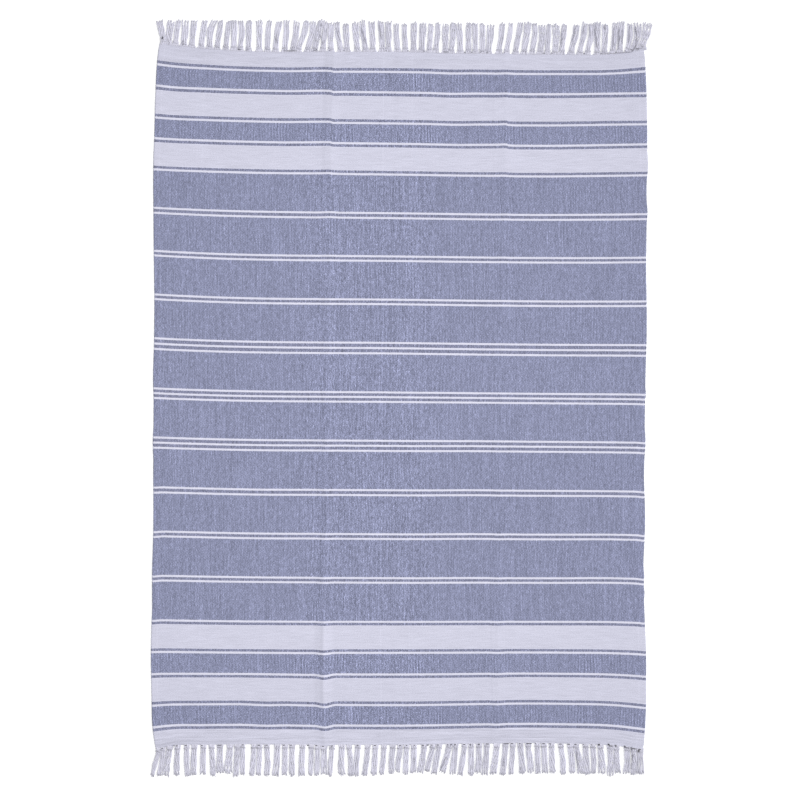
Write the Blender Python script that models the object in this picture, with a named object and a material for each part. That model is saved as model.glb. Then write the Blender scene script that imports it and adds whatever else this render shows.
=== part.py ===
"""Flat-woven cotton rug with a fringe at both ends, lying on the floor.

Metres, +Z up. The rug's length runs along Y and its width along X. The origin is
on the floor, under the middle of everything that is built. Each piece is one
closed solid: the woven cloth, and at each end a narrow strip of gathered warp
ends with its locks. The cloth's place is first worked out in its own
coordinates, across and along as woven, and then strays from them as it lies.
"""

import random
from typing import NamedTuple

import bmesh
import bpy
import numpy as np

MM = 0.001

# Driving dimensions
CLOTH_WIDTH = 1.202
CLOTH_LENGTH = 1.694
CLOTH_THICKNESS = 0.003
PIECE_GAP = 0.0003
STRIP_DEPTH = 0.005
STRIP_THICKNESS = 0.003
STRIP_END_MARGIN = 0.0005
FOLD_HALF_WIDTH = 0.030
LOCK_ROOT_WIDTH = 0.009
LOCK_TOP_SHARE = 0.62
LOCK_SPACING_AT_TIP = 0.0138
LOCK_LENGTH_SPREAD = 0.0022
LOCK_LEAN_SPREAD = 0.0012
LOCK_BOW_SPREAD = 0.0010
SAME_PLACE = 0.0003


class Section(NamedTuple):
    """One crossing of the cloth and how it strays there, in mm.

    along is its place from the middle. left_in and right_in are how far each
    selvedge is drawn in. The rest is how far the weft line is swept along Y at
    the left edge, corner and quarter and at the right quarter, corner and edge.
    """

    along: float
    left_in: float
    right_in: float
    left_edge: float
    left_corner: float
    left_quarter: float
    right_quarter: float
    right_corner: float
    right_edge: float


SECTIONS = (
    Section(-847, 5.6, 6.2, -10.3, -2.2, 0.2, 3.7, -2.0, -10.8),
    Section(-800, -2.6, 2.4, -4.4, 0.0, 1.4, 3.6, -0.8, -9.0),
    Section(-730, -6.4, 0.2, -0.6, 1.3, 2.1, 3.2, -0.3, -6.4),
    Section(-622, -7.9, -0.2, 2.4, 2.2, 1.2, 0.5, -1.2, -4.2),
    Section(-480, -5.0, 5.3, 5.4, 5.0, 3.6, 0.0, -0.2, -2.4),
    Section(-100, -1.8, 3.6, 9.1, 7.4, 5.1, -2.4, -3.7, -4.6),
    Section(120, -0.9, 0.6, 11.7, 9.5, 6.1, -4.4, -4.9, -5.4),
    Section(348, -1.3, -0.6, 14.0, 11.5, 7.5, -3.9, -3.6, -2.7),
    Section(600, -1.6, -3.4, 13.6, 11.2, 8.0, -4.2, -2.4, -1.2),
    Section(800, 5.6, 1.0, 19.3, 14.2, 8.6, -3.9, -2.9, 2.2),
    Section(847, 12.6, 4.3, 21.0, 15.4, 7.3, -5.6, -3.9, 9.0),
)

# Where the sweep of each section is given, across the cloth in mm
LEFT_EDGE, LEFT_CORNER, LEFT_QUARTER = -601, -560, -475
RIGHT_QUARTER, RIGHT_CORNER, RIGHT_EDGE = 390, 530, 601


class Fold(NamedTuple):
    """A crease along the cloth, in mm.

    bottom_at and top_at are its place across at the two ends. The lifts are how
    far it stands off the floor at the bottom end, the middle and the top end,
    and the shifts are how far it drags the weft lines along Y at the two ends.
    """

    bottom_at: float
    top_at: float
    bottom_lift: float
    middle_lift: float
    top_lift: float
    bottom_shift: float
    top_shift: float


FOLDS = (
    Fold(-182, -167, 5.0, 2.0, 3.0, -3.0, -1.0),
    Fold(239, 258, 3.0, 1.2, 2.2, -1.2, 1.5),
)

# Grid lines of the cloth, as shares of the way between one named line and the next
SHARES_EDGE_TO_FOLD = (0.0, 0.025, 0.06, 0.11, 0.18, 0.3, 0.46, 0.64, 0.8, 0.925, 0.965)
SHARES_FOLD_TO_FOLD = (0.0, 0.035, 0.07, 0.2, 0.37, 0.54, 0.71, 0.86, 0.93, 0.965)
SHARES_FOLD_TO_EDGE = (0.0, 0.04, 0.085, 0.24, 0.42, 0.6, 0.74, 0.84, 0.91, 0.96, 1.0)
ROWS_ALONG = 34
END_CROWDING = 0.45


class LockRun(NamedTuple):
    """Fringe locks that lie alike, in mm.

    first and last are the roots of the first and last lock, across the rug, and
    the leans are how far their tips lie to the right of their roots.
    """

    count: int
    first: float
    last: float
    first_lean: float
    last_lean: float


TOP_LOCKS = (
    LockRun(1, -574.6, -574.6, -12.2, -12.2),
    LockRun(4, -563.0, -508.5, 4.9, 2.7),
    LockRun(7, -485.1, -366.8, 9.8, 0.0),
    LockRun(4, -340.8, -277.3, -1.2, 2.4),
    LockRun(4, -256.7, -202.2, 11.0, 4.0),
    LockRun(4, -185.1, -128.1, -2.9, -1.5),
    LockRun(4, -102.4, -42.5, -7.0, -2.7),
    LockRun(3, -25.4, 16.1, 0.0, -4.4),
    LockRun(4, 35.0, 91.9, 2.4, 4.1),
    LockRun(7, 113.5, 220.5, 0.0, 1.2),
    LockRun(5, 245.5, 325.5, 6.0, 9.0),
    LockRun(4, 345.5, 398.3, 3.5, 5.6),
    LockRun(2, 421.5, 441.0, 12.2, 12.8),
    LockRun(7, 462.0, 576.5, 5.0, 5.0),
    LockRun(1, 592.0, 592.0, 16.5, 16.5),
)

BOTTOM_LOCKS = (
    LockRun(3, -586.5, -558.5, -18.0, -12.5),
    LockRun(4, -541.5, -479.0, -3.7, -4.9),
    LockRun(5, -458.9, -381.7, 2.4, -2.4),
    LockRun(3, -354.5, -321.8, -6.6, -1.5),
    LockRun(6, -296.1, -201.0, -2.9, -0.7),
    LockRun(2, -185.1, -163.6, 1.2, -6.6),
    LockRun(3, -140.3, -102.4, -1.2, -4.9),
    LockRun(3, -77.5, -37.0, -9.0, -8.5),
    LockRun(3, -18.1, 17.1, -1.2, -4.2),
    LockRun(5, 38.9, 120.5, -8.0, -14.7),
    LockRun(5, 138.1, 214.2, -9.3, -4.4),
    LockRun(3, 238.1, 278.7, -8.3, -5.4),
    LockRun(5, 296.6, 372.6, 3.9, 3.4),
    LockRun(6, 395.6, 492.2, 6.4, 4.2),
    LockRun(5, 514.9, 586.5, -1.2, 2.9),
)


class LockRing(NamedTuple):
    """A cross-section of a lock: its share of the way to the tip, and its size in mm."""

    reach: float
    width: float
    height: float


LOCK_RINGS = (
    LockRing(0.10, 10.0, 5.4),
    LockRing(0.26, 9.4, 4.8),
    LockRing(0.60, 10.8, 5.0),
    LockRing(0.93, 12.6, 4.4),
    LockRing(1.00, 11.6, 2.8),
)


class FringeEnd(NamedTuple):
    """One end of the rug: its node, its side, its locks and how far the tips reach."""

    name: str
    side: int
    runs: tuple
    left_tip_at: float
    right_tip_at: float
    seed: int


FRINGE_ENDS = (
    FringeEnd("fringe_top", 1, TOP_LOCKS, 0.9225, 0.9135, 11),
    FringeEnd("fringe_bottom", -1, BOTTOM_LOCKS, 0.9200, 0.9180, 23),
)

# Finishes: base colour in linear light, and roughness
BLUE_GREY_COTTON = ((0.300, 0.318, 0.462, 1.0), 0.92)
UNDYED_COTTON = ((0.597, 0.597, 0.687, 1.0), 0.95)


def smooth_through(stations, values, at):
    """Reads a smooth curve through the values at each place in at.

    values has a row for each station, and either one column or one for each
    place in at.
    """
    stations = np.asarray(stations, float)
    values = np.asarray(values, float)
    if values.ndim == 1:
        values = np.repeat(values[:, None], len(at), axis=1)
    slopes = np.gradient(values, stations, axis=0)
    span = np.clip(np.searchsorted(stations, at) - 1, 0, len(stations) - 2)
    column = np.arange(len(at))
    length = stations[span + 1] - stations[span]
    t = np.clip((at - stations[span]) / length, 0.0, 1.0)
    start = values[span, column]
    end = values[span + 1, column]
    start_slope = slopes[span, column] * length
    end_slope = slopes[span + 1, column] * length
    return (
        start * (1 + 2 * t) * (1 - t) ** 2
        + start_slope * t * (1 - t) ** 2
        + end * t * t * (3 - 2 * t)
        + end_slope * t * t * (t - 1)
    )


def fold_place(fold, along):
    """Where a fold runs across the cloth at each place along it."""
    ends = (-CLOTH_LENGTH / 2, CLOTH_LENGTH / 2)
    return np.interp(along, ends, (fold.bottom_at * MM, fold.top_at * MM))


def lay_cloth(across, along):
    """World x and y of points of the cloth, and how far it lifts off the floor there."""
    places = [section.along * MM for section in SECTIONS]
    left_in = smooth_through(places, [row.left_in * MM for row in SECTIONS], along)
    right_in = smooth_through(places, [row.right_in * MM for row in SECTIONS], along)
    to_right = across / CLOTH_WIDTH + 0.5
    x = across + left_in * (1 - to_right) - right_in * to_right

    stations = (LEFT_EDGE, LEFT_CORNER, LEFT_QUARTER, 0, RIGHT_QUARTER, RIGHT_CORNER, RIGHT_EDGE)
    stations = [station * MM for station in stations]
    sweeps = []
    for row in SECTIONS:
        left = (row.left_edge, row.left_corner, row.left_quarter)
        right = (row.right_quarter, row.right_corner, row.right_edge)
        sweeps.append(smooth_through(stations, [value * MM for value in (*left, 0, *right)], across))
    y = along + smooth_through(places, sweeps, along)

    lift = np.zeros(len(along))
    half_length = CLOTH_LENGTH / 2
    for fold in FOLDS:
        from_fold = (across - fold_place(fold, along)) / FOLD_HALF_WIDTH
        ridge = np.clip(1 - from_fold**2, 0, 1) ** 2
        lifts = (fold.bottom_lift * MM, fold.middle_lift * MM, fold.top_lift * MM)
        shifts = (fold.bottom_shift * MM, 0.0, fold.top_shift * MM)
        lift += ridge * np.interp(along, (-half_length, 0, half_length), lifts)
        y += ridge * np.interp(along, (-half_length, 0, half_length), shifts)
    return x, y, lift


def grid_lines_across(along):
    """The cloth's grid lines at one place along it, which follow its two folds."""
    left_fold, right_fold = (float(fold_place(fold, along)) for fold in FOLDS)
    left, right = -CLOTH_WIDTH / 2, CLOTH_WIDTH / 2
    lines = [left + (left_fold - left) * share for share in SHARES_EDGE_TO_FOLD]
    lines += [left_fold + (right_fold - left_fold) * share for share in SHARES_FOLD_TO_FOLD]
    lines += [right_fold + (right - right_fold) * share for share in SHARES_FOLD_TO_EDGE]
    return np.array(lines)


def rows_along():
    """Places of the cloth's grid rows, closer together towards its two ends."""
    even = np.linspace(-1, 1, ROWS_ALONG)
    crowded = np.sin(even * np.pi / 2)
    return CLOTH_LENGTH / 2 * (even + (crowded - even) * END_CROWDING)


def new_object(name, mesh_maker, finish):
    """Makes an object from a filled bmesh and gives it a material of its own."""
    mesh = bpy.data.meshes.new(name)
    shape = bmesh.new()
    mesh_maker(shape)
    bmesh.ops.recalc_face_normals(shape, faces=shape.faces)
    shape.to_mesh(mesh)
    shape.free()
    colour, roughness = finish
    material = bpy.data.materials.new(name + "_cotton")
    material.use_nodes = True
    principled = material.node_tree.nodes["Principled BSDF"]
    principled.inputs["Base Color"].default_value = colour
    principled.inputs["Roughness"].default_value = roughness
    principled.inputs["Metallic"].default_value = 0.0
    mesh.materials.append(material)
    made = bpy.data.objects.new(name, mesh)
    bpy.context.scene.collection.objects.link(made)
    return made


def fill_cloth(shape):
    """The woven cloth: a thin closed sheet on the grid, with upright edges."""
    under, over = [], []
    for along in rows_along():
        across = grid_lines_across(along)
        x, y, lift = lay_cloth(across, np.full(len(across), along))
        under.append([shape.verts.new(point) for point in zip(x, y, lift)])
        over.append([shape.verts.new(point) for point in zip(x, y, lift + CLOTH_THICKNESS)])
    rows, columns = len(under), len(under[0])
    for sheet in (under, over):
        for i in range(rows - 1):
            for j in range(columns - 1):
                corners = (sheet[i][j], sheet[i][j + 1], sheet[i + 1][j + 1], sheet[i + 1][j])
                shape.faces.new(corners)
    rim = [(0, j) for j in range(columns)]
    rim += [(i, columns - 1) for i in range(1, rows)]
    rim += [(rows - 1, j) for j in range(columns - 2, -1, -1)]
    rim += [(i, 0) for i in range(rows - 2, 0, -1)]
    for here, after in zip(rim, rim[1:] + rim[:1]):
        low, low_after = under[here[0]][here[1]], under[after[0]][after[1]]
        high, high_after = over[here[0]][here[1]], over[after[0]][after[1]]
        shape.faces.new((low, low_after, high_after, high))


def cloth_end_line(side):
    """World x, y and lift of the cloth's points along one of its two ends."""
    along = side * CLOTH_LENGTH / 2
    across = grid_lines_across(along)
    return lay_cloth(across, np.full(len(across), along))


def lock_roots_and_tips(end):
    """Root x, tip x and tip y of each lock of a fringe, with seeded small unevenness."""
    chance = random.Random(end.seed)
    locks = []
    for run in end.runs:
        for i in range(run.count):
            share = i / max(run.count - 1, 1)
            root = (run.first + (run.last - run.first) * share) * MM
            lean = (run.first_lean + (run.last_lean - run.first_lean) * share) * MM
            tip = root + lean + chance.uniform(-LOCK_LEAN_SPREAD, LOCK_LEAN_SPREAD)
            if locks:
                tip = max(tip, locks[-1][1] + LOCK_SPACING_AT_TIP)
            to_right = root / CLOTH_WIDTH + 0.5
            reach = end.left_tip_at + (end.right_tip_at - end.left_tip_at) * to_right
            reach += chance.uniform(-LOCK_LENGTH_SPREAD, LOCK_LENGTH_SPREAD)
            bow = chance.uniform(-LOCK_BOW_SPREAD, LOCK_BOW_SPREAD)
            locks.append((root, tip, end.side * reach, bow))
    return locks


def ring_at(shape, centre, direction, width, height):
    """Four corners of a lock's cross-section, flat on the floor and narrower above."""
    right = np.array((direction[1], -direction[0])) / np.hypot(*direction)
    low_left = centre - right * width / 2
    low_right = centre + right * width / 2
    high_left = centre - right * width / 2 * LOCK_TOP_SHARE
    high_right = centre + right * width / 2 * LOCK_TOP_SHARE
    corners = ((low_left, 0.0), (low_right, 0.0), (high_right, height), (high_left, height))
    return [shape.verts.new((*point, z)) for point, z in corners]


def join_rings(shape, first, second):
    """The sides between two rings of four corners."""
    for i in range(4):
        after = (i + 1) % 4
        shape.faces.new((first[i], first[after], second[after], second[i]))


def fill_lock(shape, root_ring, lock, root_y):
    """One lock, from its root on the strip to its blunt tip."""
    root_x, tip_x, tip_y, bow = lock
    start, finish = np.array((root_x, root_y)), np.array((tip_x, tip_y))
    direction = finish - start
    sideways = np.array((direction[1], -direction[0])) / np.hypot(*direction)
    ring = root_ring
    for shown in LOCK_RINGS:
        centre = start + direction * shown.reach + sideways * bow * np.sin(np.pi * shown.reach)
        facing = direction if tip_y > root_y else -direction
        following = ring_at(shape, centre, facing, shown.width * MM, shown.height * MM)
        join_rings(shape, ring, following)
        ring = following
    shape.faces.new(ring)


def strip_corners(shape, x, y, lift):
    """The strip's lower and upper points at one place."""
    return shape.verts.new((x, y, lift)), shape.verts.new((x, y, lift + STRIP_THICKNESS))


def fill_fringe(shape, end):
    """A fringe: the narrow strip of gathered warp ends, and the locks rooted in it."""
    edge_x, edge_y, edge_lift = cloth_end_line(end.side)
    locks = lock_roots_and_tips(end)
    stations = [edge_x[0] + STRIP_END_MARGIN]
    for root, *_ in locks:
        stations += [root - LOCK_ROOT_WIDTH / 2, root + LOCK_ROOT_WIDTH / 2]
    stations.append(edge_x[-1] - STRIP_END_MARGIN)

    def place(x, from_cloth):
        """World y at a distance from the cloth's end, and the lift there."""
        y = np.interp(x, edge_x, edge_y) + end.side * from_cloth
        return y, np.interp(x, edge_x, edge_lift)

    def corners(x, from_cloth):
        y, lift = place(x, from_cloth)
        return strip_corners(shape, x, y, lift)

    outer = [corners(x, PIECE_GAP + STRIP_DEPTH) for x in stations]
    inner = [corners(x, PIECE_GAP) for x in stations]
    for j in range(len(stations) - 1):
        turns = [
            x for x in edge_x if stations[j] + SAME_PLACE < x < stations[j + 1] - SAME_PLACE
        ]
        inside = [inner[j], *(corners(x, PIECE_GAP) for x in turns), inner[j + 1]]
        for level in (0, 1):
            rim = [pair[level] for pair in reversed(inside)]
            shape.faces.new([outer[j][level], outer[j + 1][level], *rim])
        for here, after in zip(inside, inside[1:]):
            shape.faces.new((here[0], after[0], after[1], here[1]))
        root_ring = [outer[j][0], outer[j + 1][0], outer[j + 1][1], outer[j][1]]
        if j % 2 == 1:
            lock = locks[j // 2]
            root_y, _ = place(lock[0], PIECE_GAP + STRIP_DEPTH)
            fill_lock(shape, root_ring, lock, root_y)
        else:
            shape.faces.new(root_ring)
    for i in (0, -1):
        shape.faces.new((outer[i][0], outer[i][1], inner[i][1], inner[i][0]))


def centre_on_floor(pieces):
    """Moves all pieces together, so that the origin is under the middle of them."""
    points = np.array([vertex.co for piece in pieces for vertex in piece.data.vertices])
    middle = (points.min(axis=0) + points.max(axis=0)) / 2
    for piece in pieces:
        piece.location = (-middle[0], -middle[1], 0.0)


def main():
    for old in list(bpy.data.objects):
        bpy.data.objects.remove(old)
    pieces = [new_object("woven_cloth", fill_cloth, BLUE_GREY_COTTON)]
    for end in FRINGE_ENDS:
        pieces.append(new_object(end.name, lambda shape: fill_fringe(shape, end), UNDYED_COTTON))
    centre_on_floor(pieces)


main()
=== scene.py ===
"""Cotton rug, woven flat in blue-grey and undyed cotton, with a fringe at both ends, lying on a pale floor.

Lengths in the tables are millimetres of real rug, or pixels of the photograph where a table says so.
Everything else is in metres, +Z up. A place on the cloth is first given across and along it, as it was
woven, and the lay of the cloth then turns that into a place on the floor. The stripes, the weave and
the fringe all start from the same lay.
"""

import logging
import math
import random
from dataclasses import dataclass
from enum import Enum
from typing import NamedTuple

import bpy
import numpy as np
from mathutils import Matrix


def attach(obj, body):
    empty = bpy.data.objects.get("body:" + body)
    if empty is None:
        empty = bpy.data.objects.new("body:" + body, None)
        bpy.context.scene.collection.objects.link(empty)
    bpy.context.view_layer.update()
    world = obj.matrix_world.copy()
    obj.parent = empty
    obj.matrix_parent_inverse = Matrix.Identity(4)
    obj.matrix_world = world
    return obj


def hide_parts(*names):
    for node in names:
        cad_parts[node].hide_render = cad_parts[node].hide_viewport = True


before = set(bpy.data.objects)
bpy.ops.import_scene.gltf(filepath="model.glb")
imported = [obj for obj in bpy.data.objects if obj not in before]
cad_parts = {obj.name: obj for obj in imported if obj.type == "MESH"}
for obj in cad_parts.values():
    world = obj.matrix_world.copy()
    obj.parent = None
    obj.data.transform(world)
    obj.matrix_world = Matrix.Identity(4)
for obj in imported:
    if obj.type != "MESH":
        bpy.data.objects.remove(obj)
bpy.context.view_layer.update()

MM = 0.001
ROOT_BODY = "root"
log = logging.getLogger("rug")

Vector3 = tuple[float, float, float]
Colour = tuple[float, float, float, float]
Socket = bpy.types.NodeSocket
Outputs = bpy.types.bpy_prop_collection
Value = Socket | float | Vector3 | Colour
WHITE = (1.0, 1.0, 1.0, 1.0)
UP = (0.0, 0.0, 1.0)
ALONG_CLOTH = (0.0, 1.0, 0.0)


class Section(NamedTuple):
    """One crossing of the cloth and how it strays there, in mm.

    along is its place from the middle. left_in and right_in are how far each selvedge is drawn in. The
    rest is how far the weft line is swept along Y at the left edge, corner and quarter and at the right
    quarter, corner and edge.
    """

    along: float
    left_in: float
    right_in: float
    left_edge: float
    left_corner: float
    left_quarter: float
    right_quarter: float
    right_corner: float
    right_edge: float


SECTIONS = (
    Section(-847, 3.2, 6.2, -10.3, -2.2, 0.2, 3.7, -2.0, -10.8),
    Section(-800, -4.0, 2.4, -4.4, 0.0, 1.4, 3.6, -0.8, -9.0),
    Section(-730, -6.4, 0.2, -0.6, 1.3, 2.1, 3.2, -0.3, -6.4),
    Section(-622, -7.9, -0.2, 2.4, 2.2, 1.2, 0.5, -1.2, -4.2),
    Section(-480, -5.0, 5.3, 5.4, 5.0, 3.6, 0.0, -0.2, -2.4),
    Section(-100, -1.8, 3.6, 9.1, 7.4, 5.1, -2.4, -3.7, -4.6),
    Section(120, -0.9, 0.6, 11.7, 9.5, 6.1, -4.4, -4.9, -5.4),
    Section(348, -1.3, -0.6, 14.0, 11.5, 7.5, -3.9, -3.6, -2.7),
    Section(600, -1.6, -3.4, 13.6, 11.2, 8.0, -4.2, -2.4, -1.2),
    Section(800, 5.6, 1.0, 19.3, 14.2, 8.6, -3.9, -2.9, 2.2),
    Section(847, 12.6, 4.3, 21.0, 15.4, 7.3, -5.6, -3.9, 9.0),
)
# Where across the cloth, in mm, its edges, corners and quarters lie. The middle isn't swept.
SWEEP_STATIONS = (-601, -560, -475, 0, 390, 530, 601)


class Fold(NamedTuple):
    """A crease along the cloth, in mm.

    bottom_at and top_at are its place across at the two ends. The lifts are how far it stands off the
    floor near the bottom end, in the middle and at the top end, and the shifts are how far it drags the
    weft lines along Y at the two ends.
    """

    bottom_at: float
    top_at: float
    bottom_lift: float
    middle_lift: float
    top_lift: float
    bottom_shift: float
    top_shift: float


FOLDS = (
    Fold(-185, -167, 4.4, 1.8, 2.0, -1.2, -1.0),
    Fold(239, 258, 1.2, 0.8, 1.2, -1.2, 0.8),
)

# The size of a pixel of the photograph on the rug, and the pixel that shows the rug's middle.
PIXEL = 2.445 * MM
MIDDLE_AT = (400.7, 398.1)


def photo_x(right: float | np.ndarray) -> float | np.ndarray:
    """World x of a place so many pixels to the right in the photograph."""
    return (right - MIDDLE_AT[0]) * PIXEL


def photo_y(down: float | np.ndarray) -> float | np.ndarray:
    """World y of a place so many pixels down the photograph."""
    return (MIDDLE_AT[1] - down) * PIXEL


class LockShape(NamedTuple):
    """How one fringe lock lies, read off in pixels of the photograph.

    root, middle and tip are how far to the right its middle line runs close to the cloth, half way out
    and at its tip. tip_width is the width of its tip, and tip_down is how far down the picture it ends.
    """

    root: float
    middle: float
    tip: float
    tip_width: float
    tip_down: float


TOP_LOCKS = (
    (163.5, 161.7, 159.3, 7, 20.5), (169, 170, 171.5, 7.5, 20.5), (176, 177.3, 178.9, 5, 20.5),
    (184.2, 185.3, 185.5, 7.5, 20.5), (192.3, 193.4, 194.5, 6.5, 20.5), (201.8, 203.4, 205, 6, 20.2),
    (210, 210.4, 214.8, 7, 20.3), (217.8, 219.6, 221.3, 5.5, 20.3), (226.3, 227.6, 229.2, 5, 21),
    (234, 234.3, 234.4, 6, 21), (240.7, 242.3, 240.5, 5.5, 20.5), (248.8, 249, 249.3, 6, 20.3),
    (259.4, 259.7, 259.2, 6.5, 20.8), (267.8, 268.2, 269.8, 5.5, 20.8), (276, 277.3, 279.5, 6, 21.5),
    (285.2, 286.6, 286.6, 6, 20.5), (293.6, 296.2, 297, 6.5, 21), (299.5, 304.2, 306.8, 6, 21),
    (308.7, 312.4, 313.4, 6, 21.5), (315.5, 318.5, 322, 6.5, 19.3), (323.3, 324.7, 326.5, 5, 22.5),
    (331, 330.8, 332, 6, 22.8), (340.3, 338, 337.6, 5, 22.3), (347, 346.5, 346, 6.5, 24),
    (357.2, 356, 355.3, 6.5, 22.5), (365.3, 363.2, 362.4, 6, 20.8), (372.8, 372.4, 371.8, 6.5, 22),
    (382.3, 381.6, 380.4, 6, 21), (388.6, 388.6, 388.3, 6.5, 22), (397.4, 396.4, 396.4, 6, 23.5),
    (405.4, 404.7, 404.6, 5.5, 24), (413.8, 413.8, 414.5, 6.5, 22.5), (421.9, 422.5, 423.4, 7, 23),
    (429.6, 430.4, 431.2, 5, 23.8), (436.2, 437.6, 438.3, 5, 22.8), (445.5, 445.3, 446, 6.5, 24),
    (451.7, 453.1, 452.8, 5.5, 22.3), (460.3, 459.8, 458.6, 6.5, 23.5), (468.5, 468.5, 468.8, 5.5, 23.3),
    (475.4, 475.3, 474.6, 5.5, 23.5), (482.3, 482.5, 482.5, 5.5, 24), (488.6, 490.3, 491, 7.5, 24.2),
    (499.5, 501.4, 502.3, 5.5, 23.3), (507.2, 509.8, 511, 4.5, 23), (516.1, 518.4, 520.7, 5.5, 22.6),
    (524.5, 526.6, 528, 7, 22.5), (532.5, 534.8, 534.7, 5, 23.5), (540.6, 542.4, 541.9, 7.5, 24.5),
    (547.6, 548.4, 548.8, 4.5, 24.5), (555.2, 556.2, 555.8, 7.5, 24.5), (562, 563.4, 564.5, 5.5, 24.3),
    (571.7, 575, 576.5, 6.5, 25), (580.5, 583.4, 585.2, 5.5, 22.7), (588.1, 591, 591.4, 5.5, 23.8),
    (597.2, 597.2, 597.4, 6.5, 22.5), (604.4, 605.1, 605, 6.5, 24), (613, 614.7, 615.2, 6, 22.8),
    (619.8, 620.8, 621.8, 6, 21.8), (628.5, 630, 629.8, 5.5, 24.3), (635, 637.7, 637.4, 8, 23.5),
    (642.8, 646.2, 647.8, 9.5, 23.5),
)

BOTTOM_LOCKS = (
    (158.3, 155.2, 152.4, 4, 775.5), (163, 161.8, 158.8, 4.5, 775.5), (169.6, 167.3, 165.5, 7.5, 775.8),
    (177.7, 177, 176.8, 6, 775.7), (187, 186.8, 187.4, 5, 775.7), (194.5, 193.8, 193.6, 6.5, 775.5),
    (203.6, 203.2, 203, 6, 774), (212, 212.8, 213, 5.5, 775.5), (220.2, 220, 220.3, 7.5, 773.5),
    (230, 228.8, 228, 8, 773.2), (237.3, 236.8, 236, 5.5, 776.3), (242.8, 243, 242.4, 5, 774.5),
    (254, 253.2, 251.6, 5, 775.8), (259.8, 259.4, 258.6, 5, 775.3), (267.2, 268, 266.6, 6, 775.7),
    (277.5, 276.8, 275.5, 7, 776.2), (285.2, 285, 284.4, 5.5, 775.3), (292.3, 292, 292.2, 6, 775.8),
    (302.6, 301.8, 301.6, 6.5, 775.7), (311.4, 311.2, 310.5, 4.5, 775.7), (317.8, 317.2, 316.8, 5, 775.8),
    (324.2, 324, 324.2, 7, 774), (332, 330.8, 330.2, 4.5, 776), (342, 341.4, 342, 7, 775.3),
    (349.6, 350.9, 350.2, 5, 775.8), (357.8, 356.6, 355.8, 6, 775.7), (367.6, 366.4, 364.4, 5.5, 775),
    (375.5, 374.7, 374, 6, 775), (384, 383, 381.4, 5, 774.5), (392.6, 391.5, 391.8, 6, 773.3),
    (400, 398.6, 397.6, 5, 771.5), (406.5, 406, 405.6, 5.5, 774), (414, 413.8, 413.2, 6, 772.8),
    (424, 422.2, 420, 6.5, 773), (432.3, 429.5, 426.6, 5, 771.7), (438.7, 436.3, 433.8, 6, 773.8),
    (448.5, 445.5, 442.3, 6.5, 772.5), (455.3, 454, 452.3, 6.5, 774.2), (464.2, 462.3, 460.2, 5.5, 775),
    (471.3, 471.3, 471.2, 6, 775), (479, 479, 477.5, 6.5, 772.5), (486.7, 486, 484.5, 6.5, 775),
    (496.6, 495, 493, 7, 774), (505.2, 504, 502.5, 6, 775), (512.7, 512, 510.8, 5, 774),
    (520.6, 521.8, 522.5, 6.5, 773.8), (528.5, 530, 531, 6.5, 773), (537.4, 537.6, 538, 5.5, 774),
    (544, 544.6, 545.4, 6, 773), (551.6, 552, 552.6, 6, 772.5), (561.3, 563, 563.2, 5.5, 773.8),
    (570.4, 572, 572.2, 6, 773.3), (576.6, 579.5, 580.8, 6.5, 773), (585.7, 586.2, 587.4, 6.5, 775),
    (593, 593.8, 593.4, 5, 773), (600.6, 601.7, 602, 7.5, 773.3), (610.2, 611, 610.2, 7.5, 775.3),
    (616.6, 617, 618, 6, 773.3), (627, 627.4, 626, 6.5, 773.8), (633.4, 634.3, 632.8, 5.5, 774),
    (640, 640.4, 640.4, 8, 774),
)

# Where painted shade shows between the roots, as dark yarn in the hollows there: from and to, in pixels to
# the right in the photograph.
TOP_SHADE_DASHES = (
    (238, 242), (246, 248), (283, 297), (313, 317), (329, 330.5), (343, 345), (385.5, 387), (407, 409),
    (423, 425), (443, 449), (464, 466), (471, 473), (480, 481.5), (486, 488), (503.5, 505), (543, 545),
    (551, 553), (583, 585), (600, 602), (607, 609), (615, 617), (624, 625.5), (630, 632), (636, 638),
)
BOTTOM_SHADE_DASHES = (
    (161.5, 163.5), (176, 178), (185, 187), (201, 203), (217, 222), (242, 244), (258, 260), (265, 268),
    (283, 285), (290, 292), (307, 309), (315.5, 317.5), (322, 324), (331, 333), (357, 358.5), (374, 376),
    (399, 401), (406, 407.5), (414, 415), (422, 424), (426.5, 429), (431, 432), (437, 439), (447, 448.5),
    (450, 452), (454, 456), (463, 465), (469.5, 471), (478, 480), (486, 489), (503, 509), (511, 513),
    (519, 520.5), (526, 532), (535, 536), (542, 545), (549, 551), (559, 562), (567, 570), (574, 576.5),
    (583, 584), (591, 592), (597.5, 600), (608, 613), (615, 616.5), (624, 629), (631, 636), (638, 641),
)


class ShadeStreak(NamedTuple):
    """Painted shade: a dark strand or speck laid where shadow falls among the locks, from one place to
    another.

    Its two ends are in pixels of the photograph. radius and height, how high it lies, are in mm, and own is
    how dark its painted shade is, as the yarn's material reads it.
    """

    right: float
    down: float
    end_right: float
    end_down: float
    radius: float
    height: float
    own: float


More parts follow.
